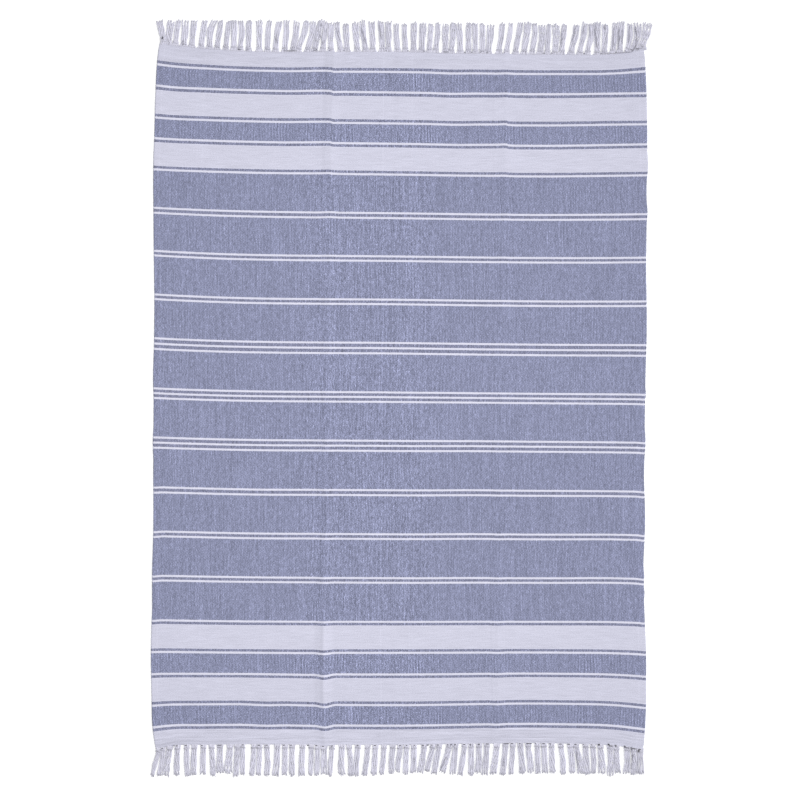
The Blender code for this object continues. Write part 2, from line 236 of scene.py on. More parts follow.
TOP_SHADE_STREAKS = (
    ShadeStreak(162.9, 37.0, 162.9, 39.6, 1.5, 6.4, -7.5),
    ShadeStreak(183.6, 40.6, 183.6, 42.6, 1.2, 6.4, -4.0),
    ShadeStreak(184.0, 43.8, 183.8, 45.6, 1.2, 6.4, -3.5),
    ShadeStreak(237.8, 49.4, 239.9, 49.5, 1.2, 4.2, -6.5),
    ShadeStreak(276.6, 36.0, 277.0, 44.0, 0.9, 5.7, -2.2),
    ShadeStreak(320.0, 34.0, 323.0, 45.0, 0.9, 5.6, -2.5),
    ShadeStreak(321.5, 23.4, 321.4, 27.0, 1.0, 5.6, -4.0),
    ShadeStreak(336.5, 28.0, 340.5, 42.0, 0.9, 5.6, -2.0),
    ShadeStreak(361.5, 27.0, 366.0, 44.0, 0.9, 5.6, -2.5),
    ShadeStreak(379.6, 24.0, 382.0, 40.0, 0.9, 5.6, -2.0),
    ShadeStreak(561.6, 27.3, 561.3, 45.0, 0.9, 5.8, -2.6),
    ShadeStreak(575.0, 27.3, 572.4, 42.0, 0.9, 5.8, -2.8),
    ShadeStreak(584.4, 26.0, 583.0, 35.0, 0.9, 5.8, -2.2),
    ShadeStreak(589.4, 25.3, 589.3, 37.3, 0.9, 5.8, -2.6),
    ShadeStreak(594.8, 26.0, 596.8, 48.7, 0.9, 5.8, -3.4),
    ShadeStreak(604.7, 25.5, 604.8, 30.5, 1.0, 5.8, -4.6),
    ShadeStreak(613.4, 28.0, 613.4, 47.0, 0.9, 5.8, -2.4),
    ShadeStreak(619.0, 28.0, 618.4, 49.5, 0.9, 5.8, -3.8),
    ShadeStreak(622.4, 29.0, 622.4, 45.0, 0.8, 5.8, -2.0),
    ShadeStreak(629.4, 27.3, 628.6, 42.7, 0.9, 5.8, -2.6),
    ShadeStreak(634.8, 26.7, 636.8, 35.3, 1.0, 5.8, -3.6),
    ShadeStreak(636.8, 35.3, 636.2, 45.0, 0.8, 5.8, -2.6),
    ShadeStreak(636.2, 45.5, 631.9, 52.2, 1.0, 6.0, -4.4),
    ShadeStreak(637.9, 48.6, 638.3, 50.4, 1.2, 6.2, -4.6),
    ShadeStreak(631.7, 52.3, 617.4, 53.4, 0.8, 4.4, -3.4),
    ShadeStreak(617.3, 53.4, 601.4, 54.2, 0.8, 4.4, -2.6),
)
BOTTOM_SHADE_STREAKS = (
    ShadeStreak(258.4, 744.8, 260.2, 744.9, 1.1, 5.4, -6.4),
    ShadeStreak(331.0, 745.4, 332.8, 745.6, 1.1, 5.4, -5.4),
    ShadeStreak(356.8, 744.8, 358.4, 745.0, 1.2, 5.4, -6.6),
    ShadeStreak(414.6, 756.0, 414.4, 766.0, 0.9, 5.6, -2.0),
    ShadeStreak(446.4, 756.0, 441.4, 768.0, 0.9, 5.6, -1.8),
    ShadeStreak(470.2, 743.9, 471.0, 745.0, 1.1, 5.4, -5.4),
    ShadeStreak(478.0, 744.0, 479.4, 744.2, 1.3, 5.4, -6.8),
    ShadeStreak(504.4, 757.0, 503.4, 766.0, 0.9, 5.6, -1.8),
    ShadeStreak(520.4, 766.5, 520.6, 769.5, 1.0, 5.0, -3.6),
    ShadeStreak(576.2, 750.0, 578.0, 769.0, 0.9, 5.6, -3.2),
    ShadeStreak(597.8, 744.0, 599.7, 743.7, 1.3, 5.4, -6.4),
    ShadeStreak(607.6, 743.8, 609.2, 744.2, 1.7, 5.6, -8.0),
    ShadeStreak(614.8, 744.8, 616.4, 745.0, 1.2, 5.4, -6.0),
    ShadeStreak(623.7, 745.7, 625.4, 746.1, 1.4, 5.4, -7.5),
    ShadeStreak(631.4, 746.4, 631.5, 750.0, 1.3, 6.0, -5.8),
    ShadeStreak(632.6, 753.5, 631.8, 760.0, 1.1, 5.8, -4.6),
    ShadeStreak(631.6, 760.0, 630.8, 769.0, 0.9, 5.6, -3.0),
    ShadeStreak(638.5, 749.2, 638.4, 751.8, 1.5, 6.2, -7.0),
)


class Drag(NamedTuple):
    """A place where the cloth drags its weft lines along Y by shift, in mm.

    It fades out left_reach to the left, right_reach to the right and along_reach along the cloth.
    """

    across: float
    along: float
    left_reach: float
    right_reach: float
    along_reach: float
    shift: float


DRAGS = (
    Drag(-174, 720, 120, 9, 300, 2.6),
    Drag(-178, -740, 200, 22, 190, -2.2),
    Drag(-180, -760, 24, 34, 240, -2.2),
    Drag(180, -290, 160, 160, 380, 1.1),
    Drag(-330, -250, 250, 140, 300, -0.9),
    Drag(350, 730, 330, 250, 220, -1.1),
    Drag(257, 640, 120, 6, 150, 2.0),
    Drag(-170, 480, 34, 26, 260, 1.6),
    Drag(122, 770, 70, 70, 210, -1.4),
    Drag(-322, -775, 70, 50, 120, -2.0),
    Drag(601, -330, 22, 10, 560, -1.8),
    Drag(-601, -400, 10, 26, 400, -2.2),
)


class Swell(NamedTuple):
    """A stretch of selvedge that stands outwards, or inwards if out is below 0, in mm.

    side is -1 for the left selvedge and 1 for the right one.
    """

    side: int
    along: float
    reach: float
    out: float


SWELLS = (
    Swell(-1, 735, 110, -3.0),
    Swell(-1, 640, 70, -1.6),
    Swell(-1, 230, 150, -1.4),
    Swell(-1, 45, 70, 1.6),
    Swell(-1, -115, 45, 1.6),
    Swell(-1, -300, 110, -0.9),
    Swell(-1, -425, 60, 1.0),
    Swell(-1, -523, 40, -0.9),
    Swell(1, 572, 34, 1.7),
    Swell(1, 512, 50, -1.8),
    Swell(1, 455, 30, 1.6),
    Swell(1, 185, 140, 2.2),
    Swell(1, 15, 20, 1.6),
    Swell(1, -104, 48, 2.4),
    Swell(1, -298, 120, 4.2),
    Swell(1, -432, 30, 2.0),
    Swell(1, -472, 20, 1.8),
    Swell(1, -735, 45, 0.9),
)


class LockGirth(NamedTuple):
    """A lock's outline at a share of the way to its tip, in mm."""

    reach: float
    width: float
    height: float


# Shares of the way to a lock's tip at its start, and where its root, middle and tip are given.
LOCK_READ_AT = (0.0, 0.17, 0.58, 1.0)
LOCK_GIRTHS = (
    LockGirth(0.00, 16.4, 2.6),
    LockGirth(0.12, 13.8, 5.4),
    LockGirth(0.28, 13.8, 4.8),
    LockGirth(0.60, 14.8, 5.0),
    LockGirth(0.93, 15.4, 4.2),
    LockGirth(1.00, 15.6, 3.2),
)
KNOT_GIRTH = LOCK_GIRTHS[1]


class Weft(Enum):
    """What the weft of a stripe is."""

    HEM = "undyed, tightly packed, at the two ends"
    BAND = "undyed, in a broad band"
    LINE = "undyed, two or three picks, which stand up a little"
    PIN = "blue, two picks between undyed ones, pressed down"
    BLUE = "blue, in the borders"
    FIELD = "blue, in the middle of the rug"


TOP_BORDER = (
    (Weft.HEM, 40.4),
    (Weft.PIN, 6.9),
    (Weft.LINE, 5.3),
    (Weft.BLUE, 44.6),
    (Weft.LINE, 5.4),
    (Weft.PIN, 6.9),
    (Weft.BAND, 57.0),
    (Weft.PIN, 6.6),
    (Weft.LINE, 5.2),
    (Weft.BLUE, 44.3),
    (Weft.LINE, 5.3),
    (Weft.PIN, 6.4),
    (Weft.BAND, 57.4),
    (Weft.PIN, 6.2),
    (Weft.LINE, 5.2),
)
BOTTOM_BORDER = (
    (Weft.HEM, 38.0),
    (Weft.PIN, 6.4),
    (Weft.LINE, 5.4),
    (Weft.BLUE, 44.8),
    (Weft.LINE, 5.2),
    (Weft.PIN, 6.4),
    (Weft.BAND, 57.0),
    (Weft.PIN, 6.3),
    (Weft.LINE, 5.2),
    (Weft.BLUE, 47.7),
    (Weft.LINE, 5.3),
    (Weft.PIN, 6.1),
    (Weft.BAND, 58.2),
    (Weft.PIN, 6.2),
    (Weft.LINE, 4.9),
)


class LineGroup(NamedTuple):
    """Undyed lines that run together across the field, in mm: the middle of the group and their pitch."""

    middle: float
    lines: int
    pitch: float


LINE_GROUPS = (
    LineGroup(-445.2, 2, 11.2),
    LineGroup(-338.2, 2, 11.5),
    LineGroup(-231.0, 2, 12.2),
    LineGroup(-116.5, 3, 12.3),
    LineGroup(2.5, 3, 11.6),
    LineGroup(122.2, 3, 12.9),
    LineGroup(235.2, 2, 11.1),
    LineGroup(341.0, 2, 11.0),
    LineGroup(446.0, 2, 12.0),
)
LINE_WIDTH = 4.9
# How many steps of the mesh a stripe takes, and the rows that round off the cloth's ends, in mm.
STEPS = {Weft.HEM: 8, Weft.BAND: 12, Weft.LINE: 3, Weft.PIN: 2, Weft.BLUE: 8, Weft.FIELD: 11}
ROWS_NEAR_END = (2.2, 1.2, 0.5)


class Relief(NamedTuple):
    """How high some kinds of stripe stand, in metres, and how many mm inside their edges they do."""

    wefts: set[Weft]
    height: float
    rise: float


RELIEFS = (
    Relief({Weft.LINE}, 0.22 * MM, 1.2),
    Relief({Weft.PIN}, -0.18 * MM, 1.6),
    Relief({Weft.BAND, Weft.HEM}, 0.12 * MM, 3.0),
)


class Stripe(NamedTuple):
    """One stripe of the cloth, from low to high along it, in metres."""

    weft: Weft
    low: float
    high: float


class WarpAndShadeBar(NamedTuple):
    """Warp ends that show paler or darker than the rest all along the cloth, in mm across it, and painted
    shade beside a crease.

    tone is how much lighter or darker they are, as a share.
    """

    across: float
    half_width: float
    tone: float


WARP_BARS_AND_CREASE_SHADE = (
    WarpAndShadeBar(-586.0, 2.6, 0.045),
    WarpAndShadeBar(-483.0, 3.0, 0.03),
    # Painted shade: darker along the shaded side of fold A's crease.
    WarpAndShadeBar(-187.0, 9.0, -0.035),
    WarpAndShadeBar(-43.0, 2.4, 0.05),
    WarpAndShadeBar(-14.0, 14.0, -0.018),
    WarpAndShadeBar(27.0, 3.0, 0.025),
    WarpAndShadeBar(226.0, 4.0, -0.03),
    WarpAndShadeBar(584.0, 2.6, 0.045),
)


def smooth_through(stations: np.ndarray, values: np.ndarray, at: np.ndarray) -> np.ndarray:
    """Reads a smooth curve through the values.

    Args:
        stations: Where the values are given, in rising order.
        values: A row for each station, and one column or one for each place in at.
        at: Where the curve is read.

    Returns:
        The curve's value at each place in at.
    """
    stations = np.asarray(stations, float)
    values = np.asarray(values, float)
    if values.ndim == 1:
        values = np.repeat(values[:, None], len(at), axis=1)
    slopes = np.gradient(values, stations, axis=0)
    span = np.clip(np.searchsorted(stations, at) - 1, 0, len(stations) - 2)
    column = np.arange(len(at))
    length = stations[span + 1] - stations[span]
    t = np.clip((at - stations[span]) / length, 0.0, 1.0)
    start = values[span, column]
    end = values[span + 1, column]
    start_slope = slopes[span, column] * length
    end_slope = slopes[span + 1, column] * length
    return (
        start * (1 + 2 * t) * (1 - t) ** 2
        + start_slope * t * (1 - t) ** 2
        + end * t * t * (3 - 2 * t)
        + end_slope * t * t * (t - 1)
    )


def ease(share: np.ndarray) -> np.ndarray:
    """Shares from 0 to 1, held to that range and eased at both ends."""
    held = np.clip(share, 0.0, 1.0)
    return held * held * (3 - 2 * held)


def hump(away: np.ndarray) -> np.ndarray:
    """A smooth hump: 1 where away is 0, and 0 where it is 1 or more to either side."""
    return np.clip(1 - away**2, 0, 1) ** 2


@dataclass(frozen=True)
class Unevenness:
    """Smooth seeded unevenness over the cloth, between -1 and 1.

    cell_across and cell_along are the sizes of its patches, and it repeats after as many of them as cells.
    """

    seed: int
    cell_across: float
    cell_along: float
    cells: int = 30

    def at(self, across: np.ndarray, along: np.ndarray) -> np.ndarray:
        """Reads the unevenness.

        Args:
            across: Places across the cloth.
            along: Places along it.

        Returns:
            A value between -1 and 1 for each place.
        """
        knots = np.random.default_rng(self.seed).uniform(-1, 1, (self.cells, self.cells))
        u = across / self.cell_across + self.cells / 2
        v = along / self.cell_along + self.cells / 2
        column, row = np.floor(u).astype(int), np.floor(v).astype(int)
        s, t = ease(u - column), ease(v - row)
        left, right = column % self.cells, (column + 1) % self.cells
        low, high = (
            knots[line, left] * (1 - s) + knots[line, right] * s
            for line in (row % self.cells, (row + 1) % self.cells)
        )
        return low * (1 - t) + high * t


@dataclass(frozen=True)
class Lay:
    """How the cloth lies on the floor: selvedges drawn in, weft lines swept, and two creases along it."""

    width: float = 1.202
    length: float = 1.694
    thickness: float = 3.0 * MM
    fold_half_width: float = 25.0 * MM
    crest_half_width: float = 7.0 * MM
    crest_share: float = 0.25
    highest_at: float = 690.0 * MM
    end_lift_share: float = 0.30
    left_tuck: float = 0.8 * MM
    shift: tuple[float, float] = (-1.9 * MM, -0.5 * MM)

    def fold_place(self, fold: Fold, along: np.ndarray) -> np.ndarray:
        """Where a fold runs across the cloth at each place along it."""
        ends = (-self.length / 2, self.length / 2)
        return np.interp(along, ends, (fold.bottom_at * MM, fold.top_at * MM))

    def drawn_in(self, along: np.ndarray) -> tuple[np.ndarray, np.ndarray]:
        """How far the left and right selvedges are drawn in at each place along the cloth.

        Args:
            along: Places along the cloth.

        Returns:
            For each place, how far the left one is drawn in, and how far the right one.
        """
        places = np.array([section.along for section in SECTIONS]) * MM
        left = smooth_through(places, [row.left_in * MM for row in SECTIONS], along)
        right = smooth_through(places, [row.right_in * MM for row in SECTIONS], along)
        for swell in SWELLS:
            out = swell.out * MM * hump((along / MM - swell.along) / swell.reach)
            if swell.side < 0:
                left = left - out
            else:
                right = right - out
        return left + self.left_tuck, right

    def place(self, across: np.ndarray, along: np.ndarray) -> tuple[np.ndarray, np.ndarray, np.ndarray]:
        """Lays points of the cloth on the floor.

        Args:
            across: Places across the cloth as woven.
            along: Places along it.

        Returns:
            World x, world y, and how far the cloth lifts off the floor, for each point.
        """
        left_in, right_in = self.drawn_in(along)
        to_right = across / self.width + 0.5
        x = across + left_in * (1 - to_right) - right_in * to_right
        stations = np.array(SWEEP_STATIONS) * MM
        sweeps = []
        for row in SECTIONS:
            left = (row.left_edge, row.left_corner, row.left_quarter)
            right = (row.right_quarter, row.right_corner, row.right_edge)
            sweeps.append(smooth_through(stations, np.array([*left, 0.0, *right]) * MM, across))
        y = along + smooth_through(np.array([row.along for row in SECTIONS]) * MM, sweeps, along)
        lift = np.zeros(len(along))
        half = self.length / 2
        for fold in FOLDS:
            from_fold = across - self.fold_place(fold, along)
            ridge = hump(from_fold / self.fold_half_width)
            crest = hump(from_fold / self.crest_half_width)
            end_lift = fold.bottom_lift * self.end_lift_share
            lifts = np.array((end_lift, fold.bottom_lift, fold.middle_lift, fold.top_lift)) * MM
            height = np.interp(along, (-half, -self.highest_at, 0, half), lifts)
            lift += height * (ridge * (1 - self.crest_share) + crest * self.crest_share)
            shifts = (fold.bottom_shift * MM, 0.0, fold.top_shift * MM)
            y += ridge * np.interp(along, (-half, 0, half), shifts)
        for drag in DRAGS:
            from_drag = across / MM - drag.across
            reach = np.where(from_drag < 0, drag.left_reach, drag.right_reach)
            near = ease(1 - np.abs(from_drag) / reach)
            y += drag.shift * MM * near * ease(1 - np.abs(along / MM - drag.along) / drag.along_reach)
        return x + self.shift[0], y + self.shift[1], lift

    def end_line(self, side: int, points: int = 241) -> tuple[np.ndarray, np.ndarray, np.ndarray]:
        """World x, y and lift of points along one of the cloth's two ends."""
        across = np.linspace(-self.width / 2, self.width / 2, points)
        return self.place(across, np.full(points, side * self.length / 2))


@dataclass(frozen=True)
class StripePlan:
    """The order of the stripes from the bottom end of the cloth to the top end.

    length is the cloth's. The stripes at its two ends count as if they went on for far past them.
    """

    length: float
    far: float = 1.0

    def stripes(self) -> list[Stripe]:
        """Works out every stripe, in rising order along the cloth.

        Returns:
            The stripes, which leave no gap between the cloth's two ends.
        """
        found: list[Stripe] = []
        above, below = self.length / 2, -self.length / 2
        for weft, width in TOP_BORDER:
            found.append(Stripe(weft, above - width * MM, above))
            above -= width * MM
        for weft, width in BOTTOM_BORDER:
            found.append(Stripe(weft, below, below + width * MM))
            below += width * MM
        for group in LINE_GROUPS:
            first = group.middle - group.pitch * (group.lines - 1) / 2
            for i in range(group.lines):
                low = (first + i * group.pitch - LINE_WIDTH / 2) * MM
                found.append(Stripe(Weft.FIELD if i == 0 else Weft.PIN, below, low))
                below = low + LINE_WIDTH * MM
                found.append(Stripe(Weft.LINE, low, below))
        found.append(Stripe(Weft.FIELD, below, above))
        return sorted(found, key=lambda stripe: stripe.low)

    def reach(self, along: np.ndarray, wefts: set[Weft]) -> np.ndarray:
        """How far places lie inside the stripes of some kinds.

        Args:
            along: Places along the cloth, in metres.
            wefts: The kinds of stripe.

        Returns:
            In mm, the distance to the nearest edge of such a stripe: above 0 inside, below 0 outside.
        """
        best = np.full(len(along), -self.far)
        for stripe in self.stripes():
            if stripe.weft in wefts:
                low = -self.far if stripe.low <= -self.length / 2 else stripe.low
                high = self.far if stripe.high >= self.length / 2 else stripe.high
                best = np.maximum(best, np.minimum(along - low, high - along))
        return best / MM


def put_in_scene(name: str, data: bpy.types.ID) -> bpy.types.Object:
    """Makes an object of a mesh, a light or a camera and links it to the scene.

    Args:
        name: The object's name.
        data: Its mesh, light or camera.

    Returns:
        The object.
    """
    made = bpy.data.objects.new(name, data)
    bpy.context.scene.collection.objects.link(made)
    return made


def new_object(name: str, points: np.ndarray, faces: list, finish: bpy.types.Material) -> bpy.types.Object:
    """Makes a smooth mesh object with one material.

    Args:
        name: The piece's name.
        points: Its points, a row each.
        faces: Its faces, as lists of point numbers.
        finish: Its material.

    Returns:
        The object, linked to the scene.
    """
    mesh = bpy.data.meshes.new(name)
    mesh.from_pydata(points.tolist(), [], faces)
    mesh.materials.append(finish)
    mesh.shade_smooth()
    return put_in_scene(name, mesh)


def grid_faces(rows: int, columns: int, first: int = 0) -> list[list[int]]:
    """Four-sided faces over a grid of points, turned upwards.

    Args:
        rows: How many rows of points there are.
        columns: How many points a row has.
        first: The number of the first point.

    Returns:
        The faces, row by row, each starting at its first point.
    """
    corners = [first + i * columns + j for i in range(rows - 1) for j in range(columns - 1)]
    return [[a, a + 1, a + columns + 1, a + columns] for a in corners]


def add_places(made: bpy.types.Object, name: str, values: np.ndarray) -> None:
    """Stores three numbers for each point of a mesh, for its material to read.

    Args:
        made: The object.
        name: The attribute's name.
        values: A row of three numbers for each point.
    """
    layer = made.data.attributes.new(name, "FLOAT_VECTOR", "POINT")
    layer.data.foreach_set("vector", np.asarray(values, np.float32).ravel())


class Graph:
    """Adds nodes to a node tree and links them, so that a shader reads like a formula.

    A noise texture's values lie close to a half, so NOISE_SPREAD spreads them out round 0. A Mix node's
    sockets for colours have the same names as its others, so they go by number.
    """

    NOISE_SPREAD = 4.0
    COLOUR_MIX_INPUTS = (0, 6, 7)
    COLOUR_MIX_OUTPUT = 2

    def __init__(self, tree: bpy.types.NodeTree) -> None:
        """Starts on a tree."""
        self.tree = tree

    def add(self, kind: str, **settings: object) -> bpy.types.Node:
        """Adds a node.

        Args:
            kind: Blender's name for the node's type, without ShaderNode.
            **settings: Properties to set on it.

        Returns:
            The node.
        """
        node = self.tree.nodes.new(kind if kind.startswith("Node") else "ShaderNode" + kind)
        for key, value in settings.items():
            setattr(node, key, value)
        return node

    def feed(self, socket: Socket, value: Value) -> None:
        """Links a value to a socket, or sets it there if it is a plain number or colour.

        Args:
            socket: The socket, an input of a node.
            value: Another node's output, or the plain value.
        """
        if isinstance(value, bpy.types.NodeSocket):
            self.tree.links.new(value, socket)
        else:
            socket.default_value = value

    def math(self, operation: str, *values: Value, clamp: bool = False) -> Socket:
        """The result of a Math node.

        Args:
            operation: Its operation, such as MULTIPLY.
            *values: Its inputs, in order.
            clamp: Whether the result is held between 0 and 1.

        Returns:
            Its output.
        """
        node = self.add("Math", operation=operation, use_clamp=clamp)
        for socket, value in zip(node.inputs, values):
            self.feed(socket, value)
        return node.outputs[0]

    def total(self, *values: Value) -> Socket:
        """The sum of several values.

        Args:
            *values: Two values or more.

        Returns:
            Their sum.
        """
        result = values[0]
        for value in values[1:]:
            result = self.math("ADD", result, value)
        return result

    def ramp(self, value: Value, low: float, high: float, start: float = 0.0, end: float = 1.0) -> Socket:
        """Reads a value between low and high as a smooth step from start to end.

        Args:
            value: The value.
            low: Where the step starts.
            high: Where it ends.
            start: What the value is read as at low and below.
            end: What it is read as at high and above.

        Returns:
            The value on the step.
        """
        node = self.add("MapRange", interpolation_type="SMOOTHSTEP")
        for socket, given in zip(node.inputs, (value, low, high, start, end)):
            self.feed(socket, given)
        return node.outputs[0]

    def mix(self, share: Value, first: Value, second: Value) -> Socket:
        """Mixes two colours: share 0 is the first and 1 is the second.

        Args:
            share: The share of the second colour.
            first: The first colour.
            second: The second colour.

        Returns:
            The mixed colour.
        """
        node = self.add("Mix", data_type="RGBA")
        for number, value in zip(self.COLOUR_MIX_INPUTS, (share, first, second)):
            self.feed(node.inputs[number], value)
        return node.outputs[self.COLOUR_MIX_OUTPUT]

    def scaled(self, colour: Value, amount: Value) -> Socket:
        """A colour made lighter or darker by an amount.

        Args:
            colour: The colour, or a vector.
            amount: What it is multiplied by.

        Returns:
            The scaled colour or vector.
        """
        node = self.add("VectorMath", operation="SCALE")
        self.feed(node.inputs[0], colour)
        self.feed(node.inputs["Scale"], amount)
        return node.outputs[0]

    def vector(self, x: Value, y: Value, z: Value = 0.0) -> Socket:
        """A vector from its three parts.

        Args:
            x: Its first part.
            y: Its second part.
            z: Its third part.

        Returns:
            The vector.
        """
        node = self.add("CombineXYZ")
        for socket, value in zip(node.inputs, (x, y, z)):
            self.feed(socket, value)
        return node.outputs[0]

    def parts(self, vector: Socket) -> tuple[Socket, Socket, Socket]:
        """The three parts of a vector.

        Args:
            vector: The vector.

        Returns:
            Its three parts, in order.
        """
        node = self.add("SeparateXYZ")
        self.feed(node.inputs[0], vector)
        return node.outputs[0], node.outputs[1], node.outputs[2]

    def noise(self, place: Socket, detail: float = 0.0) -> Socket:
        """Smooth noise around 0, about -1 to 1, with patches about one unit wide.

        Args:
            place: Where it is read.
            detail: How many times finer noise is laid over it.

        Returns:
            The noise at the place.
        """
        node = self.add("TexNoise", noise_dimensions="3D")
        self.feed(node.inputs["Vector"], place)
        node.inputs["Scale"].default_value = 1.0
        node.inputs["Detail"].default_value = detail
        return self.math("MULTIPLY_ADD", node.outputs[0], self.NOISE_SPREAD, -self.NOISE_SPREAD / 2)

    def stored(self, name: str) -> Socket:
        """The three numbers that a mesh stores for its points under a name."""
        return self.add("Attribute", attribute_name=name).outputs["Vector"]


class GroupKit:
    """A shader node group with named inputs and outputs, and the graph inside it."""

    def __init__(self, name: str, inputs: dict[str, float | None], outputs: list[str]) -> None:
        """Makes an empty group.

        Args:
            name: The group's name.
            inputs: Each input's name and its usual value, or None for a vector.
            outputs: The names of the outputs, all plain values.
        """
        self.tree = bpy.data.node_groups.new(name, "ShaderNodeTree")
        for title, usual in inputs.items():
            kind = "NodeSocketVector" if usual is None else "NodeSocketFloat"
            socket = self.tree.interface.new_socket(title, in_out="INPUT", socket_type=kind)
            if usual is not None:
                socket.default_value = usual
        for title in outputs:
            self.tree.interface.new_socket(title, in_out="OUTPUT", socket_type="NodeSocketFloat")
        self.graph = Graph(self.tree)
        self.given = self.graph.add("NodeGroupInput").outputs
        self.results = self.graph.add("NodeGroupOutput").inputs

    def put_out(self, title: str, value: Socket) -> None:
        """Links a value to a named output."""
        self.tree.links.new(value, self.results[title])

    def placed(self, graph: Graph, **values: Value) -> Outputs:
        """Places the group in another graph.

        Args:
            graph: The graph of the material.
            **values: Inputs by name, with underscores for spaces.

        Returns:
            The outputs of the placed group.
        """
        node = graph.add("Group")
        node.node_tree = self.tree
        for title, value in values.items():
            graph.feed(node.inputs[title.replace("_", " ")], value)
        return node.outputs


@dataclass(frozen=True)
class CottonFuzz:
    """The unevenness of spun cotton: soft blotches and short fibres, for every cotton of the rug.

    Group inputs: Place in mm, Fibre Size in mm, Blotch and Fibre, which are the strengths of the two.
    Group outputs: Tone, around 0, and Height, around 0.
    """

    blotch_size: float = 46.0
    usual_fibre_size: float = 2.6
    usual_blotch: float = 0.02
    usual_fibre: float = 0.05

    def group(self) -> GroupKit:
        """Builds the node group.

        Returns:
            The group, ready to be placed.
        """
        inputs = {
            "Place": None,
            "Fibre Size": self.usual_fibre_size,
            "Blotch": self.usual_blotch,
            "Fibre": self.usual_fibre,
        }
        kit = GroupKit("cotton_fuzz", inputs, ["Tone", "Height"])
        g = kit.graph
        blotch = g.noise(g.scaled(kit.given["Place"], 1 / self.blotch_size), detail=2.0)
        finer = g.math("DIVIDE", 1.0, kit.given["Fibre Size"])
        fibre = g.noise(g.scaled(kit.given["Place"], finer), detail=1.0)
        tone = g.math("MULTIPLY", blotch, kit.given["Blotch"])
        kit.put_out("Tone", g.math("ADD", tone, g.math("MULTIPLY", fibre, kit.given["Fibre"])))
        kit.put_out("Height", fibre)
        return kit


@dataclass(frozen=True)
class PlainWeave:
    """Warp ends of two strands each, that pass over and under the weft picks in turn.

    Group inputs: Across and Along the cloth in mm.
    Group outputs: Warp Up, 1 where a warp end lies on top; Height of the threads; Rib, 1 on every second
    warp end and -1 between; Strand and Column, changing from strand to strand in short and in long
    lengths; Pick and Row, changing from pick to pick in short and in long lengths.

    Pitches, runs and sizes are in mm. Where a value changes from thread to thread, it is read from
    noise: neighbours lie strand_apart or pick_apart units from each other in it, and each output has
    its own layer.
    """

    warp_pitch: float = 3.65
    pick_pitch: float = 3.35
    strand_pitch: float = 1.9
    strand_run: float = 9.0
    column_run: float = 70.0
    packed_pick_pitch: float = 1.8
    pick_run: float = 38.0
    row_run: float = 150.0
    rib_patch: float = 60.0
    wander: float = 0.5
    wander_size: float = 40.0
    warp_shows_from: float = 0.25
    warp_shows_full: float = 0.75
    warp_rise: float = 0.5
    weft_base: float = 0.6
    weft_arch: float = 0.3
    usual_rib: float = 0.6
    rib_spread: float = 1.4
    strand_apart: float = 7.3
    pick_apart: float = 5.7
    rib_layer: float = 400.0
    column_layer: float = 9.5
    row_layer: float = 3.5

    def group(self) -> GroupKit:
        """Builds the node group.

        Returns:
            The group, ready to be placed.
        """
        outputs = ["Warp Up", "Height", "Rib", "Strand", "Column", "Pick", "Row"]
        kit = GroupKit("plain_weave", {"Across": 0.0, "Along": 0.0}, outputs)
        g = kit.graph
        across, along = kit.given["Across"], kit.given["Along"]
        slow = g.scaled(g.vector(across, along), 1 / self.wander_size)
        drift = g.math("MULTIPLY", g.noise(slow, detail=1.0), self.wander)
        u = g.math("MULTIPLY_ADD", across, 1 / self.warp_pitch, drift)
        v = g.math("MULTIPLY_ADD", along, 1 / self.pick_pitch, drift)
        warp_end, pick = g.math("FLOOR", u), g.math("FLOOR", v)
        over = g.math("FLOORED_MODULO", g.math("ADD", warp_end, pick), 2.0)
        arch_across = g.math("SINE", g.math("MULTIPLY", g.math("FRACT", u), math.pi))
        arch_along = g.math("SINE", g.math("MULTIPLY", g.math("FRACT", v), math.pi))
        crown = g.math("MULTIPLY", arch_across, arch_along)
        shows = g.ramp(crown, self.warp_shows_from, self.warp_shows_full)
        kit.put_out("Warp Up", g.math("MULTIPLY", over, shows))
        weft = g.math("MULTIPLY_ADD", arch_across, self.weft_arch, self.weft_base)
        weft = g.math("MULTIPLY", arch_along, weft)
        warp = g.math("MULTIPLY", over, crown)
        kit.put_out("Height", g.math("MULTIPLY_ADD", warp, self.warp_rise, weft))
        patch = g.noise(g.scaled(g.vector(across, along, self.rib_layer), 1 / self.rib_patch), detail=1.0)
        patch = g.math("MAXIMUM", g.math("MULTIPLY_ADD", patch, self.rib_spread, self.usual_rib), 0.0)
        kit.put_out("Rib", g.math("MULTIPLY", g.math("SINE", g.math("MULTIPLY", u, math.pi)), patch))

        strand = g.math("FLOOR", g.math("MULTIPLY_ADD", across, 1 / self.strand_pitch, drift))
        strand = g.math("MULTIPLY", strand, self.strand_apart)
        short = g.math("DIVIDE", along, self.strand_run)
        kit.put_out("Strand", g.noise(g.vector(strand, short), detail=1.0))
        long = g.math("DIVIDE", along, self.column_run)
        kit.put_out("Column", g.noise(g.vector(strand, long, self.column_layer)))
        packed = g.math("FLOOR", g.math("DIVIDE", along, self.packed_pick_pitch))
        packed = g.math("MULTIPLY", packed, self.pick_apart)
        short = g.math("DIVIDE", across, self.pick_run)
        kit.put_out("Pick", g.noise(g.vector(short, packed), detail=1.0))
        row = g.math("MULTIPLY", pick, self.pick_apart)
        long = g.math("DIVIDE", across, self.row_run)
        kit.put_out("Row", g.noise(g.vector(long, row, self.row_layer), detail=1.0))
        return kit


